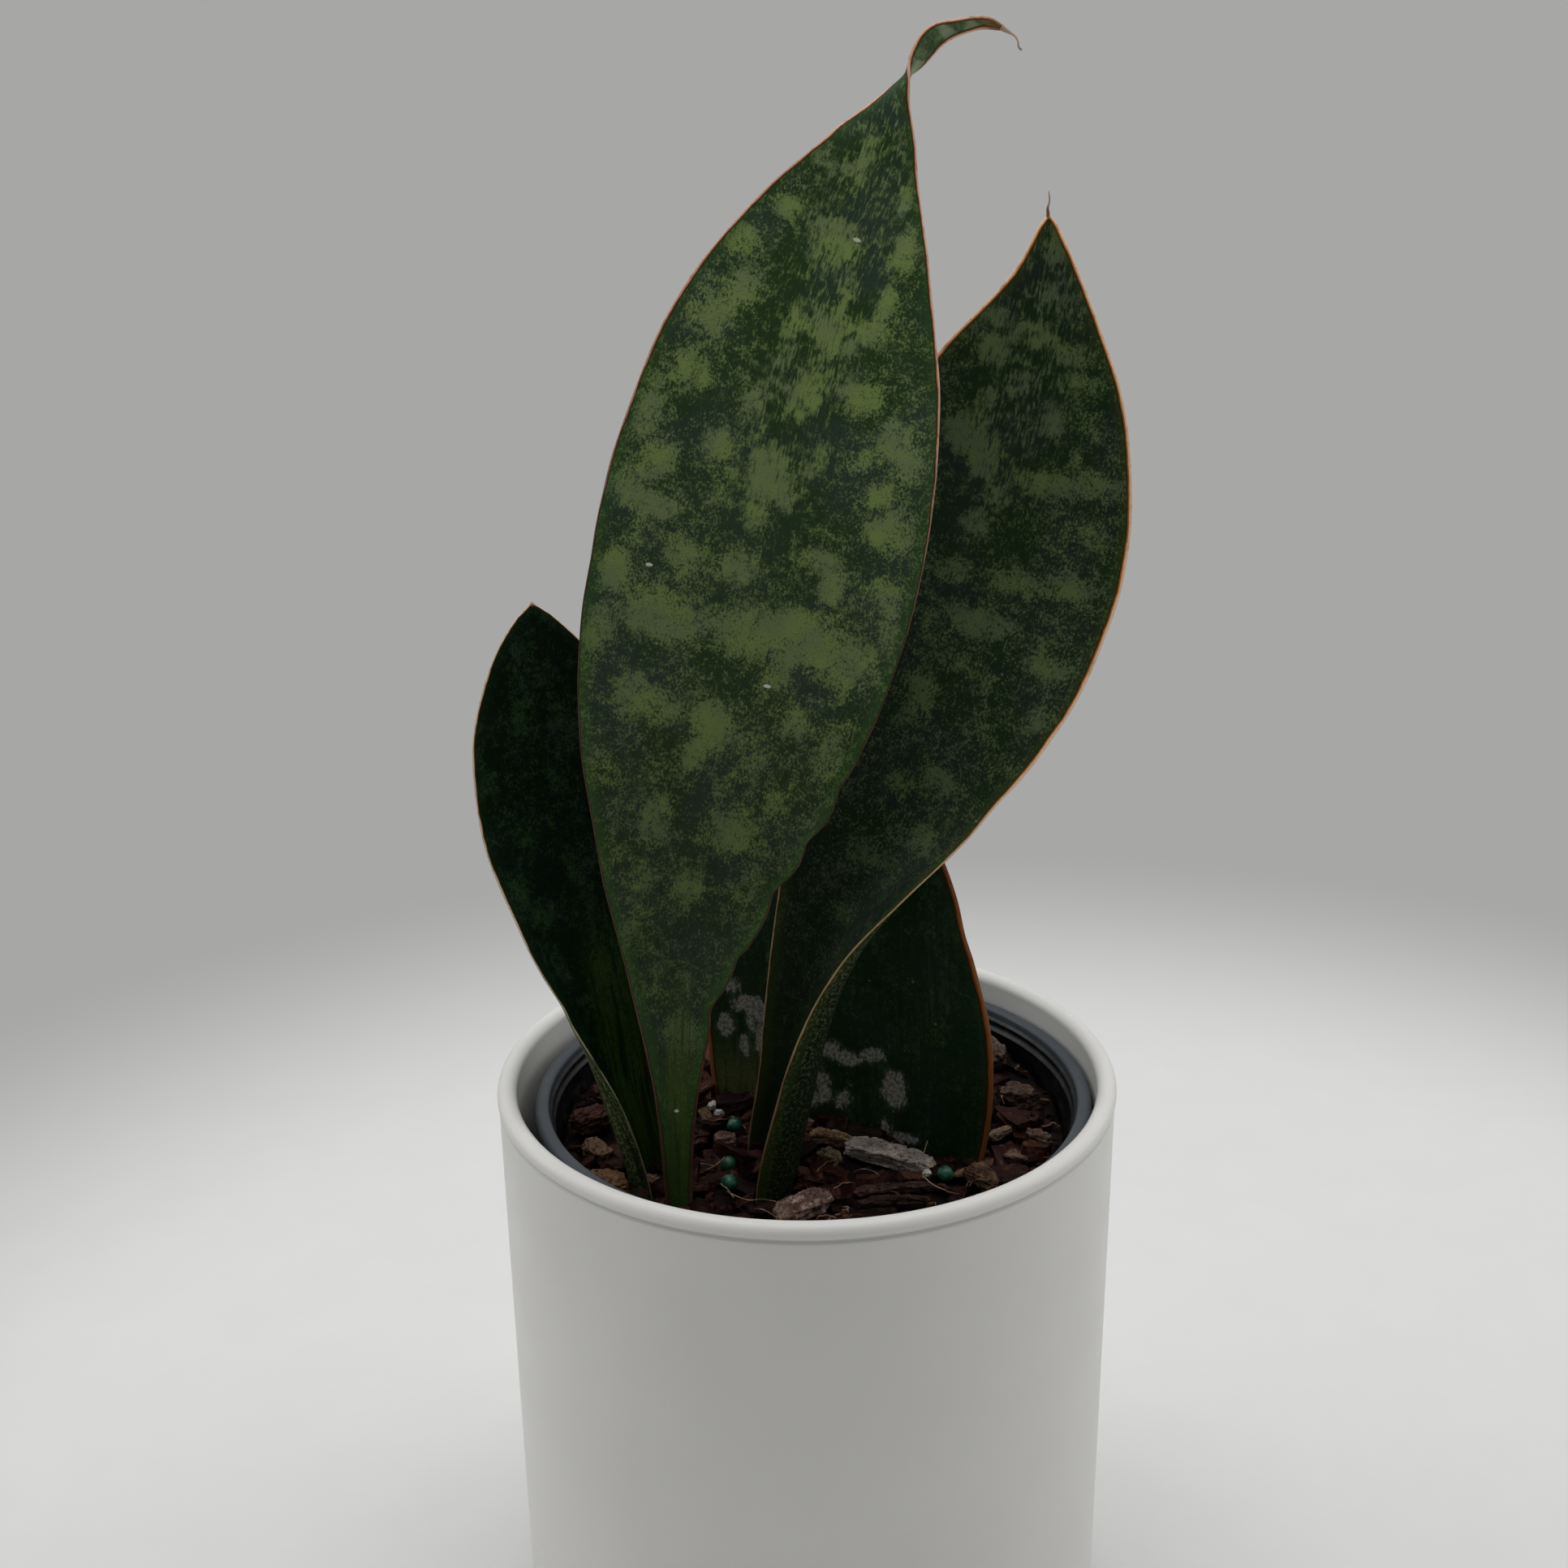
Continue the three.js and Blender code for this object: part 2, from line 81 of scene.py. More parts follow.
# ---- leaves ----
# One row per cross-section from the foot in the mix to the tip, in millimetres and degrees: midrib x, y, z,
# half-width left and right, direction faced (0 is -Y), cupping at the margins, thickness.
LEAF_ROWS = {
    "leaf_tall": [
        (-24.0, -25.0, 86.0, 2.6, 2.6, 0, 50, 3.4),
        (-24.3, -23.5, 100.0, 2.6, 2.6, 0, 50, 3.4),
        (-24.2, -20.5, 124.0, 4.9, 4.9, 0, 45, 3.0),
        (-23.2, -17.5, 143.0, 10.0, 9.2, 0, 35, 2.8),
        (-20.5, -15.0, 159.0, 17.0, 15.0, 0, 26, 2.6),
        (-15.5, -11.5, 180.0, 25.5, 22.0, 0, 20, 2.4),
        (-10.0, -8.0, 204.0, 30.0, 27.0, 0, 18, 2.2),
        (-4.5, -4.5, 229.0, 30.0, 28.0, 0, 18, 2.0),
        (2.0, -1.0, 254.0, 26.0, 23.5, 0, 18, 1.9),
        (9.0, 3.0, 274.0, 17.5, 14.5, 0, 16, 1.8),
        (14.8, 6.0, 289.0, 8.0, 6.2, 0, 10, 1.6),
        (18.2, 7.5, 298.0, 2.0, 2.0, -50, 0, 1.3),
        (20.8, 8.5, 302.3, 2.0, 2.0, -140, 0, 1.2),
        (24.0, 9.0, 306.0, 2.0, 2.0, -180, 0, 1.1),
        (28.0, 9.2, 307.4, 1.4, 1.4, -180, 0, 1.0),
        (32.5, 9.2, 308.0, 1.1, 1.1, -180, 0, 1.0),
        (36.0, 9.2, 306.8, 0.6, 0.6, -180, 0, 0.8),
    ],
    "leaf_right": [
        (-4.0, -13.5, 86.0, 11.0, 11.0, -84, 92, 3.0),
        (-3.5, -12.5, 100.0, 11.5, 11.5, -82, 92, 3.0),
        (0.0, -10.5, 118.0, 11.8, 11.8, -75, 91, 2.6),
        (4.5, -6.0, 139.0, 13.0, 13.0, -54, 78, 2.5),
        (10.5, -1.5, 156.0, 16.0, 16.0, -35, 58, 2.5),
        (17.5, 2.5, 174.0, 20.0, 20.5, -20, 38, 2.4),
        (26.5, 6.0, 199.0, 25.0, 27.0, -10, 26, 2.2),
        (34.0, 9.5, 224.0, 26.0, 27.0, -5, 20, 2.0),
        (40.5, 12.5, 249.0, 15.5, 18.0, -5, 16, 1.9),
        (43.8, 14.5, 265.0, 5.5, 7.2, -5, 12, 1.7),
        (44.8, 15.3, 276.0, 0.6, 0.6, -5, 0, 1.2),
    ],
    "leaf_left": [
        (-31.5, -13.5, 86.0, 10.0, 10.0, 70, 75, 2.8),
        (-32.5, -12.5, 100.0, 10.0, 10.0, 70, 75, 2.8),
        (-36.0, -10.0, 114.0, 11.0, 11.0, 66, 72, 2.8),
        (-39.0, -6.5, 132.0, 12.5, 12.5, 42, 55, 2.6),
        (-42.5, -3.0, 150.0, 14.5, 15.0, 28, 38, 2.4),
        (-45.5, 0.0, 170.0, 16.5, 17.0, 20, 26, 2.2),
        (-47.5, 2.5, 190.0, 13.5, 14.0, 16, 18, 2.0),
        (-48.8, 4.0, 202.0, 6.8, 7.2, 14, 12, 1.8),
        (-49.3, 4.8, 209.0, 0.8, 0.8, 14, 0, 1.2),
    ],
    "leaf_back": [
        (7.0, 2.0, 84.0, 24.0, 26.0, -26, 6, 3.2),
        (7.0, 4.0, 100.0, 27.5, 31.0, -26, 6, 3.2),
        (7.0, 6.0, 116.0, 29.0, 33.0, -26, 8, 3.0),
        (6.5, 9.0, 136.0, 28.0, 31.0, -26, 12, 2.8),
        (6.0, 12.0, 156.0, 23.0, 24.5, -26, 14, 2.4),
        (5.0, 14.5, 174.0, 13.5, 14.0, -26, 12, 2.0),
        (4.5, 16.0, 188.0, 1.5, 1.5, -26, 0, 1.4),
    ],
}

# Looks of each leaf. Distances along a leaf are in metres from its foot, foot_across is the middle and
# half-width of the band there in metres (paler, except on the right-hand leaf, where it is painted shade),
# outer_face is its dark and light colour low down, and nicks are in millimetres across and along. lift is
# painted light on the upper part and shade is painted shade on the lower part. What a leaf leaves out is as
# in SHARED_LOOK.
SHARED_LOOK = {
    "patch": 120.0, "stipple": 2200.0, "spread": 1.5, "cover": 0.2, "clouds": 0.45, "shade": 0.0,
    "lift": 0.0, "foot_to": 0.02, "flecks": 0.02, "outer": 0.8, "nicks": (),
}
LEAF_LOOKS = {
    "leaf_tall": SHARED_LOOK | {
        "light": srgb(116, 136, 76), "light_grey": srgb(108, 124, 82), "dark": srgb(34, 58, 26),
        "dark_cool": srgb(42, 60, 46), "rim_tint": srgb(52, 88, 30), "cover": 0.15, "patch": 110.0,
        "stipple": 2300.0, "spread": 1.9, "seed": 3.7, "edge": srgb(228, 184, 158),
        "edge_mid": srgb(128, 68, 28), "edge_inner": srgb(44, 42, 18), "edge_low": srgb(92, 66, 50),
        "edge_mid_low": srgb(50, 30, 20), "low": 0.15, "edge_width": 0.5, "foot": srgb(64, 84, 32),
        "foot_from": 0.06, "foot_to": 0.035, "tip": srgb(122, 84, 46), "tip_from": 0.236, "tip_to": 0.243,
        "flecks": 0.015, "sheen": 0.16, "outer": 0.3,
        "outer_face": (srgb(34, 58, 26), srgb(164, 176, 144)), "clouds": 1.0, "shade": 0.5, "lift": 0.7,
        "foot_across": (0.0003, 0.0026),
        "nicks": ((5.2, 114.2), (-20.0, 131.7), (1.5, 193.5), (0.0, 32.8)),
    },
    "leaf_right": SHARED_LOOK | {
        "light": srgb(92, 110, 66), "light_grey": srgb(88, 102, 72), "dark": srgb(22, 46, 18),
        "dark_cool": srgb(30, 44, 34), "rim_tint": srgb(64, 76, 22), "cover": 0.17, "patch": 110.0,
        "spread": 2.1, "seed": 11.2, "edge": srgb(240, 206, 170), "edge_mid": srgb(176, 102, 40),
        "edge_inner": srgb(44, 32, 12), "edge_low": srgb(172, 146, 108), "edge_mid_low": srgb(112, 82, 50),
        # painted shade: this leaf's foot colour is near black, standing in for the shade on its lower part
        "low": 0.09, "edge_width": 0.7, "foot": srgb(20, 30, 12), "foot_from": 0.08,
        "tip": srgb(206, 188, 154), "tip_from": 0.1982, "tip_to": 0.1994, "sheen": 0.1, "outer": 0.9,
        "outer_face": (srgb(14, 24, 8), srgb(104, 112, 90)), "clouds": 1.0, "shade": 0.5, "lift": 0.1,
        "foot_across": (0.0, 0.02),
    },
    "leaf_left": SHARED_LOOK | {
        # painted shade: this leaf's colours are set far darker than the other leaves' for the shade it stands
        # in behind the tall leaf
        "light": srgb(38, 66, 30), "light_grey": srgb(40, 58, 44), "dark": srgb(2, 22, 3),
        "dark_cool": srgb(6, 24, 12), "rim_tint": srgb(22, 42, 20), "seed": 23.1,
        "edge": srgb(218, 200, 174), "edge_mid": srgb(112, 66, 28), "edge_inner": srgb(26, 24, 10),
        "edge_low": srgb(170, 162, 130), "edge_mid_low": srgb(100, 84, 56), "low": 0.06, "edge_width": 0.4,
        "foot": srgb(54, 76, 12), "foot_from": 0.078, "tip": srgb(178, 156, 122), "tip_from": 0.1246,
        "tip_to": 0.1256, "sheen": 0.06, "outer_face": (srgb(62, 74, 36), srgb(122, 130, 92)),
        "foot_across": (0.003, 0.005),
    },
    "leaf_back": SHARED_LOOK | {
        "light": srgb(60, 84, 48), "light_grey": srgb(50, 64, 46), "dark": srgb(18, 44, 16),
        "dark_cool": srgb(30, 48, 38), "rim_tint": srgb(40, 56, 22), "seed": 31.9,
        "edge": srgb(160, 108, 66), "edge_mid": srgb(128, 68, 28), "edge_inner": srgb(42, 26, 12),
        "edge_low": srgb(160, 108, 66), "edge_mid_low": srgb(128, 68, 28), "low": 0.005,
        "edge_width": 0.95, "foot": srgb(96, 100, 58), "foot_from": 0.038, "tip": srgb(96, 70, 44),
        "tip_from": 0.1025, "tip_to": 0.1045, "flecks": 0.12, "sheen": 0.08, "outer": 0.4,
        "outer_face": (srgb(18, 44, 16), srgb(70, 84, 62)), "foot_across": (-0.022, 0.007),
    },
}

# Pale blotches on a leaf's front: place across and along, half-width and half-length in millimetres,
# and strength.
LEAF_BLOTCHES = {
    "leaf_tall": [
        (-2, 207, 1.5, 3.5, 1), (-6.5, 203.5, 2.5, 1.8, 1), (-10, 205, 2, 2, 1), (-12, 194.5, 2, 2, 1),
        (-2, 191, 4, 4, 1), (7, 203, 1.2, 3, 1), (10, 194, 2, 4, 1), (-17.5, 187, 3, 3, 1),
        (-15, 180, 2.5, 3, 1), (-19, 174, 4, 3, 1), (-4.5, 175, 1.6, 5, 1), (3, 177, 5, 3.5, 1),
        (3, 184, 1.3, 4, 1), (10, 185, 1.5, 3.5, 1), (9, 179.5, 2.5, 2, 1), (-20.5, 165, 1.8, 3, 1),
        (-17, 164, 1.2, 2, 1), (-25.5, 157, 2.5, 4.5, 1), (-7.5, 163, 2, 2.5, 1), (1, 165, 3, 4.5, 1),
        (10.5, 168, 3.5, 2.8, 1), (18, 162, 3, 3.5, 1), (-12, 154.5, 3, 2.5, 1), (-22, 150, 3, 3, 1),
        (-2, 151, 3, 5, 1), (5.5, 155, 2, 4, 1), (14.5, 157, 2, 2, 1), (2, 147.5, 1.5, 2.5, 1),
        (-25.5, 144.5, 3, 3.5, 1), (-20.5, 141.5, 4, 2, 1), (-26, 130, 2.5, 3.5, 1),
        (-14.5, 134, 3.5, 3, 1), (-4, 134, 3, 3.5, 1), (-3, 142.5, 1.6, 2.5, 1), (9, 138, 4, 2, 1),
        (13, 133.5, 2, 3.5, 1), (21, 145.5, 4.5, 3.5, 1), (17.5, 152, 2, 2, 1), (21.5, 157.5, 2.5, 3, 1),
        (-15, 123.5, 6.5, 5, 1), (-26.5, 119, 2.5, 4.5, 1), (-1.5, 123, 6, 4.5, 1),
        (9.5, 124, 5.5, 4.5, 1), (18, 121.5, 5, 5, 1), (24.3, 129, 2, 4.5, 1), (22, 135, 2.2, 2.5, 1),
        (6.5, 116.5, 2.8, 3.5, 1), (-19.3, 108, 2.6, 4.5, 1), (-13, 106.5, 4, 3.2, 1),
        (-3.5, 105.5, 4, 4.8, 1), (-5.5, 99.5, 2, 2.5, 1), (11.7, 108.5, 2.2, 3, 1),
        (19, 104, 2.8, 4.5, 1), (5, 101.5, 3.5, 4.5, 0.6), (-9.7, 86.5, 3, 4, 1), (-16, 87, 2.8, 3, 0.6),
        (5, 87.3, 4.3, 3.5, 1), (11.3, 93, 2, 2.5, 0.6), (1, 94.3, 1.2, 2.5, 0.5), (-23, 95, 3, 1.5, 0.4),
        (-10, 75.5, 3, 2.5, 0.7), (-0.5, 75.5, 3, 4, 0.7), (10, 78, 3, 4, 0.6), (-10.5, 66, 2, 2.5, 0.5),
        (5, 66, 2.5, 3, 0.4), (0.5, 47, 4, 4, 0.7), (1, 57, 2, 4, 0.3),
    ],
    "leaf_right": [
        (2, 193, 2, 3, 0.7), (2, 185, 2.5, 2.5, 0.6), (-7, 180, 2.8, 1.6, 1), (0, 178, 4, 2.5, 1),
        (-5.5, 174, 3, 2.5, 1), (7, 176, 2.8, 2, 0.7), (11, 171, 4.5, 2, 0.6), (-0.3, 170, 2.5, 3, 0.6),
        (-13, 168, 1.5, 2, 0.4), (-7, 158.5, 4.5, 4, 1), (-2.5, 155, 3, 3.5, 1), (-4.3, 165, 2.2, 3, 0.7),
        (8, 163, 2.2, 2.5, 1), (14.3, 165, 4, 2.3, 0.7), (13.3, 158.3, 1.4, 1.8, 1),
        (9.5, 153.2, 5, 2.3, 1), (18.7, 155, 4.2, 2.5, 1), (1, 148.5, 2.5, 2, 0.6),
        (-1.5, 143, 2.3, 2.5, 1), (20, 146, 4, 2.5, 0.6), (-2.7, 133.5, 3, 2.6, 1),
        (7.3, 134.5, 5.3, 2, 0.8), (18.3, 136, 4, 2.8, 1), (6, 125.5, 7, 2.6, 1),
        (19.4, 121.7, 3.8, 1.8, 1), (2.7, 118, 2.7, 2, 0.6), (-2.2, 112, 3, 2.2, 0.8),
        (-0.5, 108.5, 2.6, 2, 0.8), (21.5, 113.5, 2.3, 2.5, 1), (9.6, 116, 3, 2, 0.5),
        (-3, 105, 1.6, 2, 0.7), (9.7, 107.5, 3, 2, 0.5), (0.5, 93, 3.5, 2, 0.8), (8.5, 96.3, 4.6, 2.3, 1),
        (10, 84.5, 3, 2.5, 0.8), (-0.5, 78, 4, 3, 0.6), (-1, 66, 3, 3, 0.6),
    ],
}

# Dried mineral film low on the rear leaf, in the same terms.
LEAF_FILM = {
    "leaf_back": [
        (12.2, 26.8, 2.4, 3.4, 1), (2.2, 31.5, 2.2, 1.4, 0.9), (7.5, 33, 2.3, 1.4, 0.8),
        (-1.5, 33, 2.6, 1.8, 0.7), (-4, 27, 2.2, 2.5, 0.6), (-3.5, 23.2, 2, 1.5, 0.7),
        (-7, 22, 2.2, 2, 0.7), (1, 23, 1.6, 1.8, 0.7), (14, 17, 3.2, 0.9, 0.7), (10, 19, 1.4, 1.8, 0.6),
        (-22.5, 44.5, 2, 1.5, 0.8), (-20, 41, 2.8, 1.6, 0.9), (-24.5, 36, 1.7, 2.6, 0.9),
        (-18, 38.5, 1.8, 3.5, 0.7), (-16.8, 33, 1.3, 3, 0.7), (-20.6, 31.5, 1, 2.6, 0.7),
    ],
}

# Places where a margin is pinched and puckered: side, distance along in metres, depth as a share of the
# half-width, half-length in metres.
PUCKERS = {
    "leaf_tall": [(1, 0.077, 0.09, 0.004), (1, 0.088, 0.06, 0.003), (1, 0.052, 0.15, 0.0035),
                  (1, 0.063, 0.06, 0.0022), (1, 0.099, 0.03, 0.003), (-1, 0.131, 0.012, 0.006)],
    "leaf_right": [(1, 0.095, 0.012, 0.006), (-1, 0.117, 0.02, 0.005)],
    "leaf_left": [(-1, 0.05, 0.03, 0.005)],
    "leaf_back": [(1, 0.058, 0.02, 0.006)],
}

# Dried threads on the two tall tips: x, y, z in millimetres and relative thickness, root first.
TIP_THREADS = (
    ((35.0, 9.2, 307.3, 2.6), (36.2, 9.2, 306.6, 1.6), (37.4, 9.0, 305.9, 0.8), (38.0, 8.9, 305.0, 0.8),
     (38.0, 8.8, 303.9, 0.9), (38.6, 8.8, 303.6, 1.0)),
    ((44.4, 15.2, 273.6, 2.4), (44.7, 15.2, 275.4, 1.6), (44.4, 15.2, 276.8, 1.0), (44.9, 15.1, 278.0, 0.8),
     (44.6, 15.1, 279.6, 0.4)),
)

# ---- loose bark: heading and tilt in degrees, length, width and height in millimetres, build, colours ----
BARK = {
    "bark_grey_slab": (-24, 4, 17.5, 5.0, 3.2, "slab", srgb(136, 124, 112), srgb(194, 186, 174)),
    "bark_pink_flake": (32, -8, 12.0, 7.5, 3.0, "flake", srgb(96, 68, 58), srgb(178, 154, 140)),
    "bark_brown_block": (12, 6, 8.6, 6.4, 4.4, "block", srgb(108, 76, 52), srgb(152, 120, 86)),
    "bark_red_block": (36, 3, 8.0, 5.6, 4.0, "block", srgb(62, 32, 24), srgb(96, 62, 46)),
    "bark_long_sliver": (9, 2, 19.0, 2.4, 2.0, "sliver", srgb(44, 22, 18), srgb(112, 84, 68)),
    "bark_dark_sliver": (3, -2, 13.0, 2.4, 2.0, "sliver", srgb(36, 18, 15), srgb(84, 58, 46)),
    "bark_light_splinter": (46, 8, 8.6, 2.2, 1.8, "sliver", srgb(116, 96, 74), srgb(164, 146, 120)),
    "bark_tan_chip": (-18, 0, 9.4, 3.4, 2.6, "flake", srgb(112, 86, 60), srgb(172, 152, 112)),
    "bark_tan_crumb": (-43, 4, 4.8, 3.0, 2.4, "block", srgb(100, 84, 64), srgb(146, 128, 104)),
    "bark_pink_cube": (9, 0, 4.2, 3.6, 3.0, "block", srgb(96, 68, 58), srgb(148, 122, 108)),
    "bark_back_block": (-63, 5, 9.6, 6.0, 4.0, "block", srgb(78, 62, 50), srgb(120, 104, 88)),
    "bark_right_block": (-33, -4, 7.0, 5.0, 3.6, "block", srgb(74, 56, 44), srgb(122, 100, 82)),
    "bark_right_chip": (-45, 0, 5.8, 2.8, 2.2, "flake", srgb(84, 62, 50), srgb(130, 106, 88)),
    "bark_front_chip": (-55, 5, 8.0, 5.0, 3.2, "flake", srgb(70, 48, 36), srgb(118, 94, 68)),
    "bark_flat_chip": (-23, 0, 4.6, 2.6, 2.0, "flake", srgb(88, 66, 54), srgb(132, 110, 92)),
    "bark_left_chip": (-60, -5, 8.6, 4.8, 3.6, "flake", srgb(58, 34, 26), srgb(98, 68, 50)),
    "bark_left_crumb": (-58, 4, 7.0, 4.0, 3.0, "block", srgb(104, 76, 56), srgb(156, 128, 102)),
}
PALE_BARK = {"bark_grey_slab", "bark_pink_flake", "bark_brown_block", "bark_light_splinter", "bark_tan_chip",
             "bark_tan_crumb", "bark_pink_cube", "bark_back_block", "bark_right_block", "bark_right_chip"}
# How square each build of bark is, how strongly it tapers, how deep its ridges are and how much it bows.
BARK_BUILDS = {
    "slab": (8.0, 0.10, 0.34, 0.5),
    "block": (5.0, 0.15, 0.50, 0.2),
    "flake": (3.6, 0.30, 0.44, 0.6),
    "sliver": (3.4, 0.45, 0.36, 0.7),
}
LONG_BARK = 7  # millimetres; longer pieces get a finer mesh
# How far the figure of each build runs along the grain, and how worn its high spots are.
BARK_WEAR = {"slab": (0.5, 0.9), "block": (0.6, 0.6), "flake": (0.4, 0.8), "sliver": (0.12, 0.35)}
PRILL_NODES = [f"fertiliser_prill_{number}" for number in range(1, 5)]
PERLITE_NODES = [f"perlite_{number}" for number in range(1, 4)]


# ---- settings ----
def length_setting(name, description, default):
    return FloatProperty(name=name, description=description, default=default, min=0.0,
                         subtype="DISTANCE", unit="LENGTH", precision=5)


def colour_setting(name, description, default):
    return FloatVectorProperty(name=name, description=description, default=default, size=4,
                               min=0.0, max=1.0, subtype="COLOR")


class PotSettings(bpy.types.PropertyGroup):
    """Sizes and colours of the two pots."""

    height: length_setting("Height", "Height of the cover pot", COVER_HIGH.z)
    rim_radius: length_setting("Rim radius", "Outer radius of the rolled rim",
                               (COVER_HIGH.x - COVER_LOW.x) / 2)
    wall: length_setting("Wall", "Thickness of the cover pot's wall", 3.8 * MM)
    base: length_setting("Base", "Thickness of the cover pot's base", 5.0 * MM)
    rim_step: length_setting("Rim step", "How far the rolled rim stands proud of the wall", 0.3 * MM)
    glaze: colour_setting("Glaze", "Colour of the white glaze", srgb(226, 225, 221))
    nursery_radius: length_setting("Nursery lip radius", "Outer radius of the nursery pot's lip",
                                   (NURSERY_HIGH.x - NURSERY_LOW.x) / 2)
    nursery_wall: length_setting("Nursery wall", "Thickness of the nursery pot's wall", 1.2 * MM)
    plastic: colour_setting("Plastic", "Colour of the nursery pot", srgb(8, 9, 10))


class MixSettings(bpy.types.PropertyGroup):
    """The potting mix and what is scattered in it."""

    level: length_setting("Level", "Height of the mix at the middle of the pot", 102 * MM)
    slope: FloatProperty(name="Slope", description="Rise of the mix towards the back, per unit of depth",
                         default=0.09, precision=3)
    chips: IntProperty(name="Chips", description="Number of small bark chips scattered on the mix",
                       default=2200, min=0, max=4000)
    fibres: IntProperty(name="Fibres", description="Number of pale coir fibres", default=80, min=0, max=400)
    colour: colour_setting("Colour", "Colour of the damp mix between the chips", srgb(14, 7, 5))


class LeafSettings(bpy.types.PropertyGroup):
    """Mesh density and surface of the leaves."""

    section_step: length_setting("Section step", "Distance between cross-sections along a leaf", 0.9 * MM)
    columns: IntProperty(name="Columns", description="Steps across a leaf's face", default=44, min=8, max=120)
    ripple: length_setting("Ripple", "How far the margins wave out of the leaf's plane", 0.45 * MM)
    relief: length_setting("Relief", "Depth of the fine wrinkles in the skin", 0.16 * MM)


class StageSettings(bpy.types.PropertyGroup):
    """Floor, lights and camera."""

    floor: colour_setting("Floor", "Colour of the floor round the plant", (0.765, 0.765, 0.76, 1.0))
    backdrop: colour_setting("Backdrop", "Grey that the floor fades into", srgb(167, 167, 166))
    top_power: FloatProperty(name="Top light", description="Power of the overhead softbox", default=7.6,
                             unit="POWER")
    side_power: FloatProperty(name="Side lights", description="Power of each side softbox", default=3.3,
                              unit="POWER")
    ambient_front: FloatProperty(name="Ambient in front", description="Soft light from the camera's side",
                                 default=0.225)
    ambient_back: FloatProperty(name="Ambient behind", description="Soft light from behind the plant",
                                default=0.42)
    lens: FloatProperty(name="Lens", description="Focal length of the camera", default=51.02,
                        unit="CAMERA")
    pitch: FloatProperty(name="Pitch", description="How far the camera looks down",
                         default=math.radians(19.69), subtype="ANGLE", unit="ROTATION")
    roll: FloatProperty(name="Roll", description="Tilt of the camera about its view",
                        default=math.radians(-0.79), subtype="ANGLE", unit="ROTATION")
    camera_place: FloatVectorProperty(name="Camera place", description="Where the camera stands",
                                      default=(-0.0036, -0.3894, 0.3139), size=3, subtype="TRANSLATION",
                                      unit="LENGTH")


class PlantSettings(bpy.types.PropertyGroup):
    """Everything that can be changed on the potted plant."""

    pot: PointerProperty(type=PotSettings, name="Pot", description="The two pots")
    mix: PointerProperty(type=MixSettings, name="Mix", description="The potting mix")
    leaf: PointerProperty(type=LeafSettings, name="Leaf", description="The leaves")
    stage: PointerProperty(type=StageSettings, name="Stage", description="Floor, lights and camera")


# ---- node helpers ----
def put(socket, value):
    """Links a shader value to a socket, or sets a plain value on it."""
    if isinstance(value, Value):
        value.tree.links.new(value.socket, socket)
    else:
        socket.default_value = value


def node(tree, kind, values=None, **settings):
    made = tree.nodes.new("ShaderNode" + kind)
    for key, value in settings.items():
        setattr(made, key, value)
    for key, value in (values or {}).items():
        put(made.inputs[key], value)
    return made


def taken(tree, kind, values=None, output=0, **settings):
    """One output of a new node, ready for sums."""
    return Value(tree, node(tree, kind, values, **settings).outputs[output])


class Value:
    """A number, vector or colour in a shader tree, so that sums can be written plainly."""

    def __init__(self, tree, socket):
        self.tree, self.socket = tree, socket

    def maths(self, operation, first, second=0.0, clamp=False):
        return taken(self.tree, "Math", {0: first, 1: second}, operation=operation, use_clamp=clamp)

    def __abs__(self):
        return self.maths("ABSOLUTE", self)

    def __add__(self, other):
        return self.maths("ADD", self, other)

    def __sub__(self, other):
        return self.maths("SUBTRACT", self, other)

    def __mul__(self, other):
        return self.maths("MULTIPLY", self, other)

    def __truediv__(self, other):
        return self.maths("DIVIDE", self, other)

    def ramp(self, low, high, to_low=0.0, to_high=1.0):
        """Smoothly maps this value between two levels, held outside them."""
        values = {"Value": self, "From Min": low, "From Max": high, "To Min": to_low, "To Max": to_high}
        return taken(self.tree, "MapRange", values, "Result", interpolation_type="SMOOTHSTEP")

    def between(self, first, second):
        """The colour that lies this share of the way from the first to the second."""
        return taken(self.tree, "Mix", {0: self, 6: first, 7: second}, 2, data_type="RGBA")

    def blend(self, share, other, mode="MIX"):
        """This colour with a share of another laid over it."""
        return taken(self.tree, "Mix", {0: share, 6: self, 7: other}, 2, data_type="RGBA", blend_type=mode)

    def scaled(self, factors):
        return taken(self.tree, "VectorMath", {0: self, 1: factors}, operation="MULTIPLY")

    def minus(self, place):
        return taken(self.tree, "VectorMath", {0: self, 1: place}, operation="SUBTRACT")

    def length(self):
        return taken(self.tree, "VectorMath", {0: self}, "Value", operation="LENGTH")

    def axis(self, number):
        return taken(self.tree, "SeparateXYZ", {0: self}, number)

    def noise(self, scale, detail=2.0, roughness=0.5, seed=0.0, distortion=0.0):
        values = {"Vector": self, "W": seed, "Scale": scale, "Detail": detail, "Roughness": roughness,
                  "Distortion": distortion}
        return taken(self.tree, "TexNoise", values, "Fac", noise_dimensions="4D")

    def group(self, name, **values):
        """Outputs, by name, of a shared group laid at this place."""
        made = self.tree.nodes.new("ShaderNodeGroup")
        made.node_tree = bpy.data.node_groups.get(name) or GROUPS[name](name)
        put(made.inputs["Place"], self)
        for key, value in values.items():
            put(made.inputs[key.replace("_", " ")], value)
        return {socket.name: Value(self.tree, socket) for socket in made.outputs}

    def spots(self, scale, size, share):
        return self.group("Specks", Scale=scale, Size=size, Share=share)["Mask"]


def attribute(tree, name, output="Fac"):
    return taken(tree, "Attribute", None, output, attribute_name=name)


def dimmed(colour, share):
    return tuple(level * share for level in colour[:3]) + (1.0,)


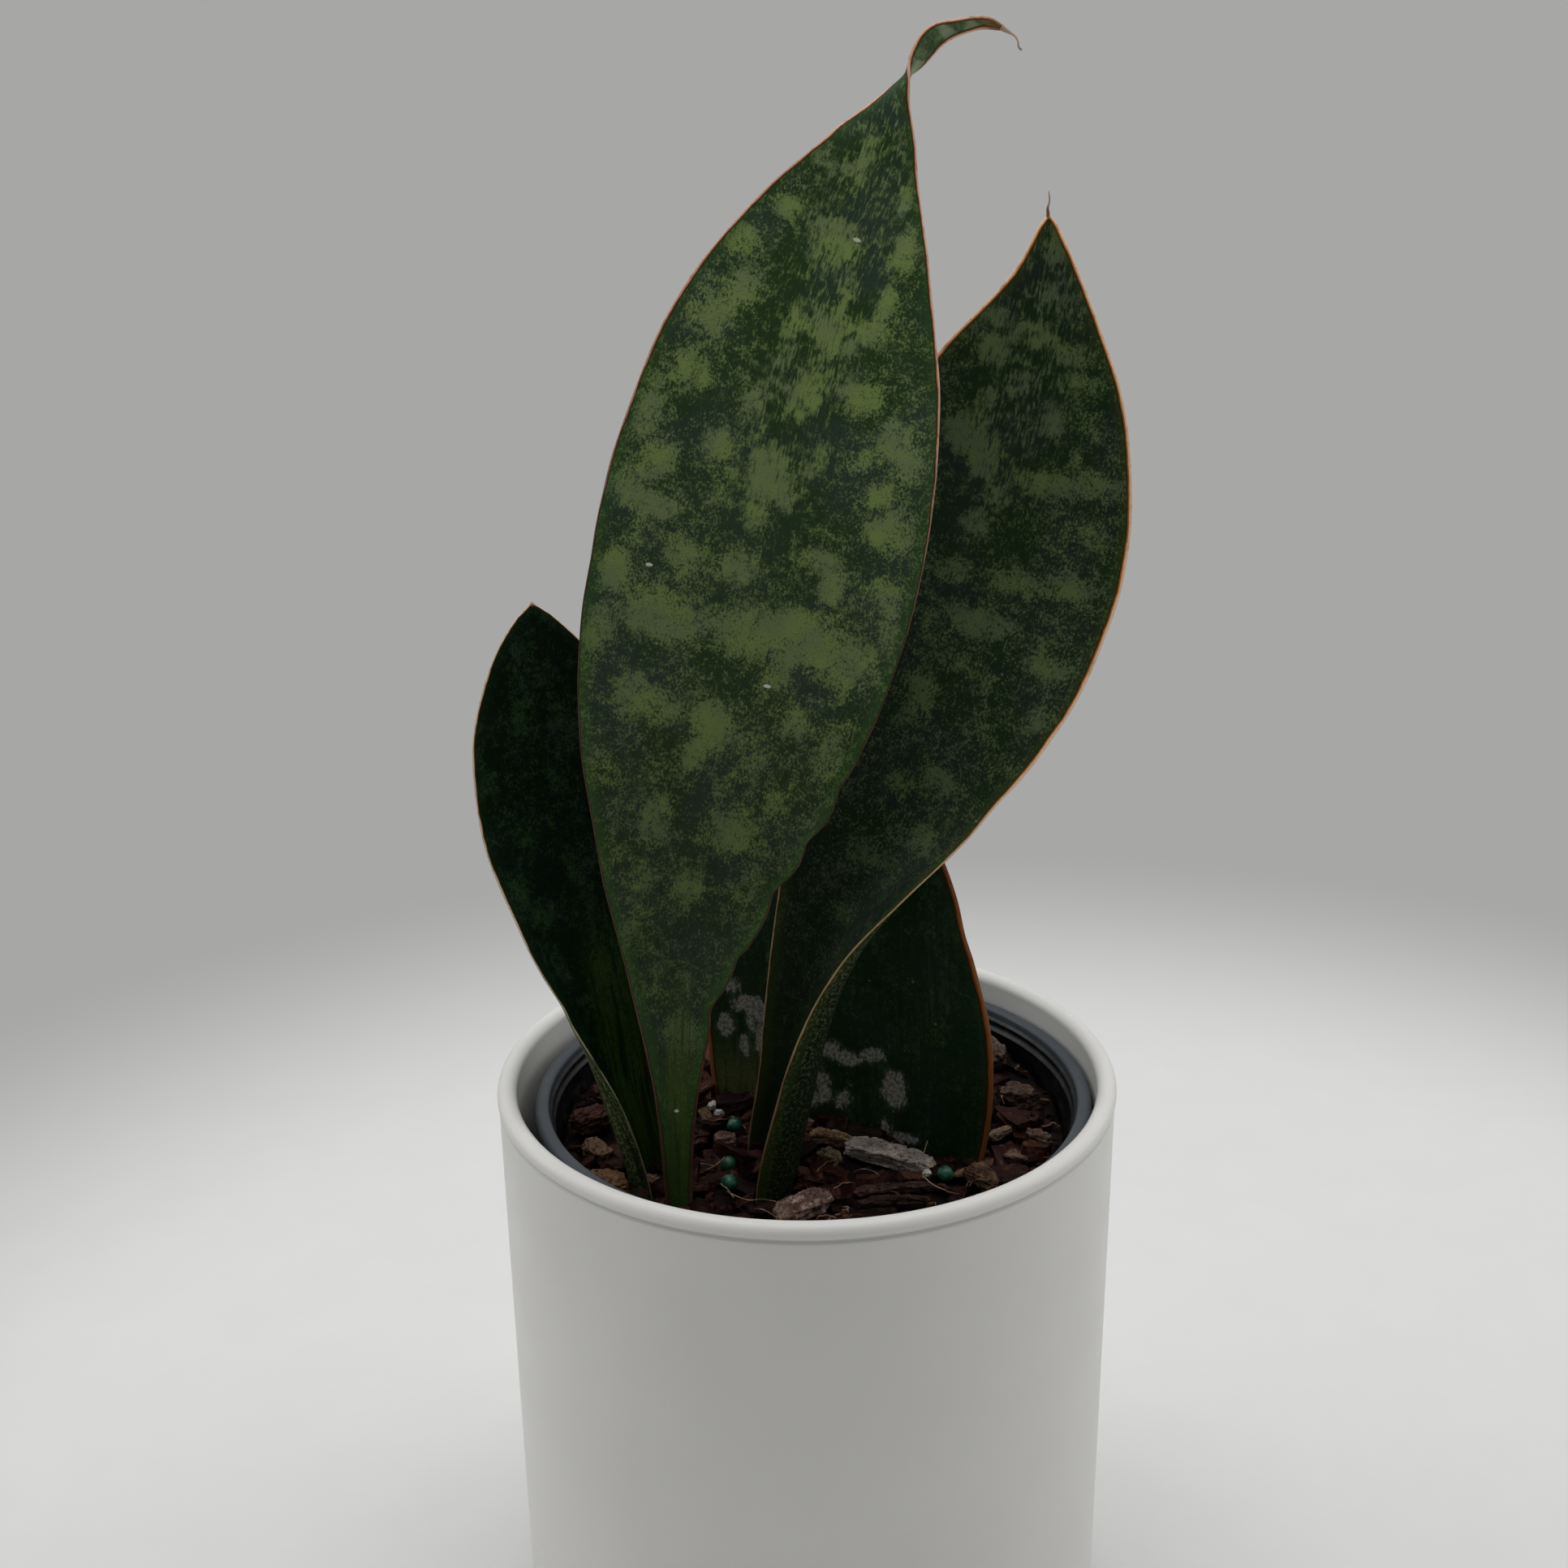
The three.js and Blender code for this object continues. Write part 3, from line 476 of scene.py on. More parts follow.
def new_material(name):
    """An empty material with its tree and its shader."""
    material = bpy.data.materials.new(name)
    material.use_nodes = True
    tree = material.node_tree
    tree.nodes.clear()
    shader = node(tree, "BsdfPrincipled")
    output = node(tree, "OutputMaterial")
    tree.links.new(shader.outputs["BSDF"], output.inputs["Surface"])
    return material, tree, shader


def object_place(tree):
    return taken(tree, "TexCoord", None, "Object")


def finish(shader, colour, roughness, relief=None, depth=0.0, strength=1.0):
    """Joins colour, roughness and fine relief to a shader. The depth of the relief is in metres."""
    put(shader.inputs["Base Color"], colour)
    put(shader.inputs["Roughness"], roughness)
    if relief:
        values = {"Height": relief, "Distance": depth, "Strength": strength}
        put(shader.inputs["Normal"], taken(relief.tree, "Bump", values, "Normal"))


def start_group(name, inputs, *outputs):
    """Makes an empty shader group. Inputs have a default number, or None where they take a vector."""
    group = bpy.data.node_groups.new(name, "ShaderNodeTree")
    for label, default in inputs.items():
        kind = "NodeSocketVector" if default is None else "NodeSocketFloat"
        socket = group.interface.new_socket(name=label, in_out="INPUT", socket_type=kind)
        if default is not None:
            socket.default_value = default
    for label in outputs:
        group.interface.new_socket(name=label, in_out="OUTPUT", socket_type="NodeSocketFloat")
    given = {socket.name: Value(group, socket) for socket in group.nodes.new("NodeGroupInput").outputs}
    return group, given, group.nodes.new("NodeGroupOutput").inputs


# ---- shared effects ----
def leaf_mottling(name):
    """Pale blotches with soft stippled borders on a dark ground, as on a snake plant's leaf."""
    inputs = {"Place": None, "Patch Scale": 110.0, "Stipple Scale": 2300.0, "Spread": 1.0, "Cover": 0.2,
              "Blotch": 0.0, "Streak": 0.0, "Seed": 0.0}
    group, given, result = start_group(name, inputs, "Patch", "Drift", "Warmth", "Grain")
    place, seed, patch, stipple = (given[key] for key in ("Place", "Seed", "Patch Scale", "Stipple Scale"))
    wide = place.noise(patch, 3.0, 0.6, seed, 0.4)
    middle = place.noise(patch * 5.0, 3.0, 0.65, seed, 0.3)
    round_grain = place.scaled((1.0, 0.75, 1.0)).noise(stipple, 2.0, 0.75, seed)
    long_grain = place.scaled((1.0, 0.2, 1.0)).noise(stipple, 3.0, 0.7, seed, 0.5)
    grain = taken(group, "Mix", {0: given["Streak"], 2: round_grain, 3: long_grain})
    level = (wide - 0.5) + (middle - 0.5) * 1.3 + (grain - 0.5) * given["Spread"]
    level = level + given["Blotch"] * 0.38 - given["Cover"]
    put(result["Patch"], level.ramp(-0.24, 0.28))
    put(result["Drift"], place.noise(patch * 0.6, 2.0, 0.6, seed + 4.0).ramp(0.38, 0.62))
    put(result["Warmth"], place.noise(patch * 1.6, 1.0, 0.5, seed + 9.0).ramp(0.35, 0.65))
    put(result["Grain"], grain)
    return group


def specks(name):
    """Scattered small spots: a mask that is 1 inside a spot."""
    inputs = {"Place": None, "Scale": 200.0, "Size": 0.1, "Share": 0.2}
    group, given, result = start_group(name, inputs, "Mask")
    place, scale, size, share = (given[key] for key in inputs)
    warped = taken(group, "TexNoise", {"Vector": place, "Scale": scale * 4.0, "Detail": 1.0}, "Fac")
    cells = node(group, "TexVoronoi", {"Vector": place, "Scale": scale}).outputs
    distance = Value(group, cells["Distance"]) + (warped - 0.5) * size
    picked = taken(group, "SeparateColor", {0: Value(group, cells["Color"])})
    put(result["Mask"], (size - distance).ramp(0.0, 0.02) * picked.maths("LESS_THAN", picked, share))
    return group


def bark_figure(name):
    """Ridges along a piece of bark, pits, and worn high spots."""
    inputs = {"Place": None, "Scale": 500.0, "Run": 0.14, "Seed": 0.0}
    group, given, result = start_group(name, inputs, "Ridges", "Wear", "Pits")
    place, scale, run, seed = (given[key] for key in inputs)
    stretch = taken(group, "CombineXYZ", {0: run, 1: 1.0, 2: 1.0})
    ridges = place.scaled(stretch).noise(scale, 5.0, 0.65, seed, 0.3)
    broad = place.noise(scale * 0.45, 3.0, 0.6, seed + 3.0)
    put(result["Ridges"], ridges)
    put(result["Wear"], (ridges * 0.6 + broad * 0.5).ramp(0.54, 0.70))
    put(result["Pits"], place.noise(scale * 2.4, 2.0, 0.6, seed + 7.0).ramp(0.42, 0.30))
    return group


GROUPS = {"Leaf mottling": leaf_mottling, "Specks": specks, "Bark figure": bark_figure}


# ---- materials ----
def glaze_material(settings):
    material, tree, shader = new_material("White glaze")
    place = object_place(tree)
    colour = place.noise(22.0, 3.0).ramp(0.35, 0.65).between(settings.glaze, dimmed(settings.glaze, 0.965))
    colour = colour.blend(place.spots(85.0, 0.034, 0.2) * 0.85, srgb(92, 80, 68))
    roughness = place.noise(70.0, 3.0).ramp(0.3, 0.7, 0.36, 0.5)
    dimple = place.noise(260.0, 2.0, 0.4) + place.noise(1400.0, 1.0) * 0.25
    finish(shader, colour, roughness, dimple, 0.12 * MM, 0.35)
    return material


def plastic_material(settings):
    material, tree, shader = new_material("Black plastic")
    place = object_place(tree)
    # painted highlight: the top of the lip is painted a pale blue-grey for the light it reflects, over the
    # black plastic below
    lip = place.axis(2).ramp(NURSERY_HIGH.z - 2.2 * MM, NURSERY_HIGH.z - 1.0 * MM)
    dust = place.noise(240.0, 4.0, 0.7).ramp(0.5, 0.74, 0.0, 0.4)
    colour = lip.between(settings.plastic, srgb(68, 74, 80)).blend(dust, srgb(84, 84, 80))
    colour = colour.blend(place.spots(300.0, 0.12, 0.14) * 0.5, srgb(96, 78, 62))
    scuff = place.scaled((1.0, 1.0, 6.0)).noise(160.0, 3.0, 0.6).ramp(0.3, 0.7, 0.32, 0.52)
    finish(shader, colour, scuff, place.noise(900.0, 2.0), 0.05 * MM, 0.5)
    shader.inputs["Specular IOR Level"].default_value = 0.28
    return material


def mix_material(settings):
    """Damp bark and peat: the colour of each chip follows its tone attribute."""
    material, tree, shader = new_material("Bark mix")
    place, tone = attribute(tree, "local", "Vector"), attribute(tree, "tone")
    figure = place.group("Bark figure", Scale=760.0, Run=0.25, Seed=1.0)
    chips = node(tree, "ValToRGB", {"Fac": tone})
    stops = chips.color_ramp.elements
    stops[0].color, stops[1].color = tuple(settings.colour), srgb(166, 144, 120)
    for position, colour in ((0.35, srgb(28, 8, 5)), (0.6, srgb(56, 22, 15)), (0.8, srgb(78, 46, 34)),
                             (0.92, srgb(120, 92, 74))):
        stops.new(position).color = colour
    base = Value(tree, chips.outputs["Color"])
    worn = base.blend(1.0, srgb(205, 196, 186), "MULTIPLY")
    lifted = base.blend(0.32, srgb(156, 108, 84))
    colour = (figure["Wear"] * tone.ramp(0.1, 0.6, 0.15, 0.6)).between(worn, lifted)
    # painted shade: the pits are darkened almost to black
    colour = colour.blend(figure["Pits"] * 0.85, srgb(6, 3, 2))
    dirt = place.noise(1500.0, 4.0, 0.75, 2.0).ramp(0.52, 0.38, 0.0, 0.7)
    colour = colour.blend(dirt, srgb(10, 4, 3))
    finish(shader, colour, figure["Ridges"].ramp(0.3, 0.7, 0.5, 0.85), figure["Ridges"], 0.7 * MM)
    shader.inputs["Specular IOR Level"].default_value = 0.1
    return material


def bark_material(name, build, base, pale, seed):
    material, tree, shader = new_material("Bark " + name.replace("bark_", "").replace("_", " "))
    place = attribute(tree, "local", "Vector")
    run, worn = BARK_WEAR[build]
    figure = place.group("Bark figure", Scale=640.0, Run=run, Seed=seed)
    edge = attribute(tree, "edge")
    wear = edge.maths("ADD", figure["Wear"] * worn, edge * 0.6, clamp=True)
    ground = place.noise(260.0, 3.0, 0.6, seed).ramp(0.35, 0.65).between(dimmed(base, 0.62), base)
    dirt = place.noise(1300.0, 4.0, 0.75, seed).ramp(0.5, 0.36, 0.0, 0.75)
    colour = wear.between(ground, pale).blend(dirt, dimmed(base, 0.2))
    # painted shade: the pits are darkened
    colour = colour.blend(figure["Pits"] * 0.8, dimmed(base, 0.12))
    relief = figure["Ridges"] - figure["Pits"] * 0.4
    finish(shader, colour, figure["Ridges"].ramp(0.3, 0.7, 0.68, 0.92), relief, 0.7 * MM)
    shader.inputs["Specular IOR Level"].default_value = 0.2
    return material


def leaf_skin(tree, look, place, along, across, back, mottle):
    """Colour of a leaf's skin before its margins: ground, blotches, stippling and the band at its foot,
    with painted light high up and painted shade low down and where it meets the mix.
    """
    seed = look["seed"]
    dark = mottle["Drift"].between(look["dark"], look["dark_cool"])
    light = mottle["Warmth"].between(look["light"], look["light_grey"])
    skin = mottle["Patch"].between(dark, light)
    fine = place.noise(4200.0, 2.0, 0.7, seed).ramp(0.32, 0.68, 0.5, 0.0)
    skin = skin.blend(fine, srgb(150, 158, 148), "MULTIPLY")
    # painted light: lift makes the upper part of the leaf lighter
    skin = skin.blend(along.ramp(0.1, 0.19, 0.0, look["lift"]), PAINTED_LIGHT, "MULTIPLY")
    # painted shade: shade darkens the lower part of the leaf
    skin = skin.blend(along.ramp(0.12, 0.07, 0.0, look["shade"]), PAINTED_SHADE, "MULTIPLY")

    # dense pale stippling on the outer face, on a darker ground low down
    outer_dark, outer_light = look["outer_face"]
    skin = skin.blend(back * along.ramp(0.1, 0.06) * look["outer"], outer_dark)
    grit = place.noise(1500.0, 1.5, 0.6, seed)
    outer = grit.ramp(0.50, 0.56) * along.ramp(0.11, 0.07, 0.15, look["outer"])
    skin = skin.blend(back * outer, outer_light)
    bars = attribute(tree, "narrow") * attribute(tree, "blotch").ramp(0.1, 0.5, 0.1, 0.8)
    skin = skin.blend(bars, outer_light)

    # a band and lengthwise streaks towards the foot (the band paler, but painted shade on the right-hand
    # leaf), and painted shade darkening the leaf where it meets the mix
    band_middle, band_half = look["foot_across"]
    band = abs(across - band_middle).ramp(band_half * 1.5, band_half * 0.6)
    foot = along.ramp(look["foot_from"], look["foot_to"], 0.0, 0.8)
    skin = skin.blend(foot * (mottle["Grain"].ramp(0.34, 0.56, 0.55, 1.0) * band), look["foot"])
    lines = place.scaled((1.0, 0.07, 1.0)).noise(900.0, 4.0, 0.75, seed, 0.6)
    low = along.ramp(0.085, 0.045)
    skin = skin.blend(lines.ramp(0.52, 0.4, 0.0, 0.8) * low, look["dark"])
    skin = skin.blend(lines.ramp(0.56, 0.68, 0.0, 0.2) * low, look["light"])
    # painted shade where the leaf meets the mix
    skin = skin.blend(along.ramp(0.04, 0.014, 0.0, 0.5), PAINTED_SHADE, "MULTIPLY")
    return skin, grit


def leaf_marks(tree, look, place, skin, grit):
    """Lays the dried mineral film, pale flecks and nicks over a leaf's skin."""
    crust = place.scaled((1.0, 0.5, 1.0)).noise(520.0, 5.0, 0.8, look["seed"])
    film = attribute(tree, "film")
    film = film + (crust - 0.5) * film.ramp(0.0, 0.2, 0.0, 3.2)
    skin = skin.blend(film.ramp(0.0, 0.4, 0.0, 0.5), srgb(74, 82, 74))
    chalk = grit.ramp(0.38, 0.6).between(srgb(98, 96, 86), srgb(146, 144, 134))
    skin = skin.blend(film.ramp(0.34, 0.5, 0.0, 0.85), chalk)
    skin = skin.blend(place.spots(420.0, 0.12, look["flecks"]) * 0.35, srgb(134, 144, 128))
    for nick_across, nick_along in look["nicks"]:
        offset = place.minus((nick_across * MM, nick_along * MM, 0.0))
        ragged = offset.scaled((0.6, 1.3, 1.0)).length() + crust * (0.5 * MM)
        skin = skin.blend(ragged.ramp(0.75 * MM, 0.55 * MM), srgb(206, 206, 190))
    return skin


def leaf_margin(tree, look, place, along, skin):
    """Lays on the margin: a pale horny edge, a rusty band and a dark line inside it. Then the dried tip."""
    wander = (place.noise(220.0, 3.0) - 0.5) * (0.6 * MM)
    low_from, low_to = look["low"] * 0.8, look["low"] * 1.2
    high = along.ramp(low_from, low_to)
    width = along.ramp(low_from, low_to, look["edge_width"] * 0.4 * MM, look["edge_width"] * MM)
    share = (attribute(tree, "rim") + wander) / width
    rust = high.between(look["edge_mid_low"], look["edge_mid"])
    horn = high.between(look["edge_low"], look["edge"])
    horn = horn.blend(along.ramp(0.05, 0.02, 0.0, 0.6), look["edge_inner"])
    edge = place.noise(500.0, 3.0, 0.6, look["seed"]).ramp(0.3, 0.5, 0.5, 1.0).between(rust, horn)
    for start, end, colour in ((1.5, 1.15, look["edge_inner"]), (1.1, 0.95, rust), (0.75, 0.5, edge)):
        skin = skin.blend(share.ramp(start, end), colour)
    return skin.blend((along + wander * 4.0).ramp(look["tip_from"], look["tip_to"]), look["tip"])


def leaf_material(name, look, settings):
    material, tree, shader = new_material(name.replace("leaf_", "Leaf skin "))
    place = taken(tree, "UVMap", None, "UV", uv_map="leaf")
    across, along, back = place.axis(0), place.axis(1), attribute(tree, "back")
    mottle = place.group(
        "Leaf mottling", Patch_Scale=look["patch"], Stipple_Scale=look["stipple"], Spread=look["spread"],
        Cover=look["cover"], Blotch=attribute(tree, "blotch"), Seed=back * 6.0 + look["seed"],
        Streak=abs(across).ramp(0.014, 0.003) * along.ramp(0.12, 0.17))
    skin, grit = leaf_skin(tree, look, place, along, across, back, mottle)
    skin = skin.blend(attribute(tree, "rim").ramp(3.2 * MM, 0.4 * MM, 0.0, 0.4), look["rim_tint"])
    skin = leaf_marks(tree, look, place, skin, grit)
    skin = leaf_margin(tree, look, place, along, skin)
    polish = place.noise(420.0, 3.0, 0.6, look["seed"]).ramp(0.3, 0.7, 0.42, 0.58)
    wrinkles = place.scaled((0.16, 1.0, 1.0)).noise(1100.0, 2.0, 0.6, look["seed"])
    finish(shader, skin, polish, wrinkles * 0.8 + mottle["Grain"] * 0.7, settings.relief, 0.6)
    shader.inputs["Specular IOR Level"].default_value = look["sheen"]
    return material


def prill_material():
    material, tree, shader = new_material("Coated fertiliser")
    place = object_place(tree)
    cloud = place.noise(900.0, 3.0, 0.6)
    colour = cloud.ramp(0.35, 0.65).between(srgb(12, 60, 44), srgb(28, 90, 68))
    finish(shader, colour, cloud.ramp(0.3, 0.7, 0.3, 0.5), place.noise(2400.0, 2.0), 0.08 * MM, 0.6)
    return material


def perlite_material():
    material, tree, shader = new_material("Perlite")
    place = object_place(tree)
    pores = taken(tree, "TexVoronoi", {"Vector": place, "Scale": 2600.0}, "Distance")
    # painted shade: the pores are darker grey than the perlite round them
    colour = pores.ramp(0.5, 0.1).between(srgb(184, 182, 176), srgb(120, 114, 104))
    finish(shader, colour, place.noise(1500.0, 2.0).ramp(0.3, 0.7, 0.75, 0.95), pores, 0.2 * MM, 0.7)
    return material


def fibre_material(name, dark, pale):
    material, tree, shader = new_material(name)
    shade = object_place(tree).noise(300.0, 2.0)
    finish(shader, shade.ramp(0.35, 0.65).between(dark, pale), shade.ramp(0.3, 0.7, 0.6, 0.8))
    return material


def floor_material(settings):
    """A pale floor that fades into an even grey backdrop."""
    material, tree, shader = new_material("Studio floor")
    place = object_place(tree)
    far = place.minus((0.045, 0.0, 0.0)).length().ramp(0.22, 0.42)
    near = place.noise(60.0, 3.0).ramp(0.3, 0.7).between(settings.floor, dimmed(settings.floor, 0.985))
    put(shader.inputs["Base Color"], far.between(near, BLACK))
    put(shader.inputs["Emission Color"], far.between(BLACK, tuple(settings.backdrop)))
    for name, value in (("Emission Strength", 1.0), ("Roughness", 0.9), ("Specular IOR Level", 0.0)):
        shader.inputs[name].default_value = value
    return material


# ---- mesh helpers ----
def add_piece(name, mesh, material, slot, *nodes):
    piece = bpy.data.objects.new(name, mesh)
    bpy.context.scene.collection.objects.link(piece)
    piece.data.materials.append(material)
    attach(piece, "root")
    if nodes:
        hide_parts(*nodes)
    return piece


def smooth(mesh):
    mesh.polygons.foreach_set("use_smooth", [True] * len(mesh.polygons))
    mesh.update()
    return mesh


def mesh_of(body, name):
    mesh = bpy.data.meshes.new(name)
    body.to_mesh(mesh)
    body.free()
    return mesh


def faces_of(body):
    return [tuple(vert.index for vert in face.verts) for face in body.faces]


def turned_mesh(name, profile, centre, steps):
    """Turns a radius-height profile about a vertical axis through the centre."""
    body = bmesh.new()
    points = [body.verts.new((radius, 0.0, height)) for radius, height in profile]
    edges = [body.edges.new(pair) for pair in zip(points, points[1:])]
    bmesh.ops.spin(body, geom=points + edges, cent=(0, 0, 0), axis=(0, 0, 1), angle=math.tau, steps=steps,
                   use_duplicate=False)
    bmesh.ops.remove_doubles(body, verts=body.verts, dist=1e-6)
    bmesh.ops.recalc_face_normals(body, faces=body.faces)
    bmesh.ops.translate(body, verts=body.verts, vec=centre)
    return smooth(mesh_of(body, name))


def arc(centre, radius, start, end, steps):
    points = []
    for step in range(steps + 1):
        angle = math.radians(start + (end - start) * step / steps)
        points.append((centre[0] + radius * math.cos(angle), centre[1] + radius * math.sin(angle)))
    return points


def ladder(start, end, steps):
    """Points between two profile points, both left out, so long walls get even faces."""
    return [tuple(Vector(start).lerp(Vector(end), step / steps)) for step in range(1, steps)]


def cut_holes(piece, centres, radius, depth):
    """Cuts round holes down through a piece and leaves the result in its mesh."""
    body = bmesh.new()
    for centre in centres:
        bmesh.ops.create_cone(body, cap_ends=True, segments=32, radius1=radius, radius2=radius, depth=depth,
                              matrix=Matrix.Translation(centre))
    mesh = mesh_of(body, "drain_cutters")
    cutter = bpy.data.objects.new("drain_cutters", mesh)
    bpy.context.scene.collection.objects.link(cutter)
    cut = piece.modifiers.new("Drain holes", "BOOLEAN")
    cut.operation, cut.solver, cut.object = "DIFFERENCE", "EXACT", cutter
    graph = bpy.context.evaluated_depsgraph_get()
    opened = bpy.data.meshes.new_from_object(piece.evaluated_get(graph))
    piece.modifiers.clear()
    piece.data = opened
    bpy.data.objects.remove(cutter)
    bpy.data.meshes.remove(mesh)


# ---- potting mix ----
def mix_height(settings, x, y):
    """Height of the mix at a place in plan, in metres."""
    a, b = x / MM, y / MM
    bumps = math.sin(0.31 * a + 1.3) * math.cos(0.27 * b - 0.6) + 0.6 * math.sin(0.53 * a - 0.47 * b)
    return settings.level + settings.slope * y + 0.7 * MM * bumps


def turned_by(heading, tilt):
    return Matrix.Rotation(heading, 3, "Z") @ Matrix.Rotation(tilt, 3, "Y")


def plan_place(reach, turn):
    """A place in plan at a distance and direction from the middle of the mix."""
    return MIX_CENTRE.x + reach * math.cos(turn), MIX_CENTRE.y + reach * math.sin(turn)


def mix_bed(settings, radius):
    """Vertices and faces of the mix itself: a crumbly top on a plain tapered plug."""
    rings, spokes = 64, 200
    verts, faces = [], []
    for ring in range(rings + 1):
        reach = radius * (ring / rings)
        for spoke in range(spokes):
            x, y = plan_place(reach, math.tau * spoke / spokes)
            crumb = noise.fractal(Vector((x, y, 0.0)) * 420, 0.8, 2.1, 4)
            lumps = abs(noise.noise(Vector((x, y, 3.0)) * 190))
            z = mix_height(settings, x, y) - 1.7 * MM + 0.55 * MM * crumb + 1.1 * MM * lumps
            verts.append(Vector((x, y, z)))
    for ring in range(rings):
        for spoke in range(spokes):
            a, b = ring * spokes + spoke, ring * spokes + (spoke + 1) % spokes
            faces.append((a, a + spokes, b + spokes, b))
    top_edge = rings * spokes
    low_start = len(verts)
    for spoke in range(spokes):
        verts.append(Vector((*plan_place(radius * FOOT_SHARE, math.tau * spoke / spokes), MIX_LOW.z)))
    for spoke in range(spokes):
        following = (spoke + 1) % spokes
        faces.append((top_edge + spoke, low_start + spoke, low_start + following, top_edge + following))
    faces.append(tuple(low_start + spoke for spoke in reversed(range(spokes))))
    return verts, faces


def bark_form(length, width, height, build, cuts, seed):
    """A bark piece in its own axes, X along the grain: vertices, faces and how near each is to an edge."""
    squareness, taper, ridge, bow = BARK_BUILDS[build]
    body = bmesh.new()
    bmesh.ops.create_cube(body, size=2.0)
    bmesh.ops.subdivide_edges(body, edges=body.edges, cuts=cuts, use_grid_fill=True)
    verts, edges = [], []
    offset = Vector((seed * 3.1, seed * 1.7, seed * 0.9))
    for vert in body.verts:
        p = vert.co.copy()
        reach = sum(abs(axis) ** squareness for axis in p) ** (1 / squareness)
        p /= reach
        sharp = sorted(abs(axis) for axis in p)[1] ** 4
        narrow = 1 - taper * (0.5 + 0.5 * p.x) - 0.12 * p.x * p.x
        ragged = 1 + 0.10 * noise.noise(Vector((p.y * 2.2, p.z * 2.2, seed)))
        thin = 0.75 + 0.25 * narrow
        spot = Vector((p.x * length / 2 * ragged, p.y * width / 2 * narrow, p.z * height / 2 * thin))
        grain = Vector((spot.x * 0.22, spot.y, spot.z)) / MM * 1.4 + offset
        rough = noise.fractal(grain, 0.7, 2.2, 4) * ridge * MM
        lumps = noise.noise(spot / MM * 0.5 + offset) * 0.3 * MM
        lumps -= max(0.0, noise.noise(spot / MM * 1.5 + offset) - 0.12) * 0.9 * MM
        out = Vector((p.x * 0.4, p.y, p.z)).normalized()
        spot += out * (rough + lumps) * min(1.0, height / (2.4 * MM))
        layer = math.floor((spot.z / MM + 0.3 * noise.noise(spot / MM * 0.4)) / 0.8)
        shift = noise.noise(Vector((layer * 7.7, seed, p.x * 1.5))) * 0.9 * MM * abs(p.y) ** 3
        spot += Vector((0.0, math.copysign(shift, p.y) if shift < 0 else shift * 0.5 * p.y, 0.0))
        spot.z += bow * MM * (0.3 - p.x * p.x) * min(1.0, length / (14 * MM))
        verts.append(spot)
        edges.append(min(1.0, max(0.0, sharp + 0.6 * noise.noise(spot / MM * 1.1 + offset))))
    faces = faces_of(body)
    body.free()
    return verts, faces, edges


def shard_form(length, width, height, dice):
    """A splintered chip, X along the grain: a block cut by slanting planes. Returns vertices and faces."""
    body = bmesh.new()
    bmesh.ops.create_cube(body, size=1.0)
    bmesh.ops.scale(body, vec=(length, width, height), verts=body.verts)
    for _ in range(6):
        cut = Vector([dice.gauss(0, 1) / size for size in (length, width, height)]).normalized()
        reach = (abs(cut.x) * length + abs(cut.y) * width + abs(cut.z) * height) / 2
        bmesh.ops.bisect_plane(body, geom=body.verts[:] + body.edges[:] + body.faces[:], clear_outer=True,
                               plane_co=cut * reach * dice.uniform(0.5, 0.8), plane_no=cut)
        bmesh.ops.holes_fill(body, edges=[edge for edge in body.edges if edge.is_boundary])
    body.verts.index_update()
    verts = [vert.co.copy() for vert in body.verts]
    faces = faces_of(body)
    body.free()
    return verts, faces


def new_strands(name, thickness, roundness):
    curve = bpy.data.curves.new(name, "CURVE")
    curve.dimensions, curve.bevel_depth, curve.bevel_resolution = "3D", thickness, roundness
    return curve


def add_strand(curve, points):
    """Adds one thread to a curve from x, y, z and relative thickness."""
    spline = curve.splines.new("NURBS")
    spline.points.add(len(points) - 1)
    for spot, (x, y, z, radius) in zip(spline.points, points):
        spot.co = (x, y, z, 1.0)
        spot.radius = radius
    spline.use_endpoint_u, spline.order_u = True, 3


def mesh_from(name, verts, faces, **marks):
    """A mesh from points and faces, with a value or vector at every point for each mark."""
    mesh = bpy.data.meshes.new(name)
    mesh.from_pydata(verts, [], faces)
    for key, values in marks.items():
        if isinstance(values[0], Vector):
            layer = mesh.attributes.new(key, "FLOAT_VECTOR", "POINT")
            layer.data.foreach_set("vector", [axis for value in values for axis in value])
        else:
            mesh.attributes.new(key, "FLOAT", "POINT").data.foreach_set("value", values)
    return mesh


def leaf_trees():
    """Search trees of the leaves' frame solids, used to keep chips out of their feet."""
    trees = []
    for name in LEAF_ROWS:
        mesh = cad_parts[name].data
        verts = [vert.co.copy() for vert in mesh.vertices]
        trees.append(BVHTree.FromPolygons(verts, [tuple(face.vertices) for face in mesh.polygons]))
    return trees


def clear_of_leaves(trees, place, margin):
    for tree in trees:
        nearest, normal, _, distance = tree.find_nearest(place)
        if distance < margin or (place - nearest).dot(normal) < 0:
            return False
    return True


def loose_boxes():
    return [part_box(name) for name in [*BARK, *PRILL_NODES, *PERLITE_NODES]]


def clear_of_boxes(boxes, x, y, margin):
    for low, high in boxes:
        if low.x - margin < x < high.x + margin and low.y - margin < y < high.y + margin:
            return False
    return True


# ---- leaves ----
def hermite(q, a, slope_a, b, slope_b):
    q2, q3 = q * q, q * q * q
    places = (2 * q3 - 3 * q2 + 1) * a + (q3 - 2 * q2 + q) * slope_a
    return places + (3 * q2 - 2 * q3) * b + (q3 - q2) * slope_b


def hermite_slope(q, a, slope_a, b, slope_b):
    q2 = q * q
    return (6 * q2 - 6 * q) * (a - b) + (3 * q2 - 4 * q + 1) * slope_a + (3 * q2 - 2 * q) * slope_b


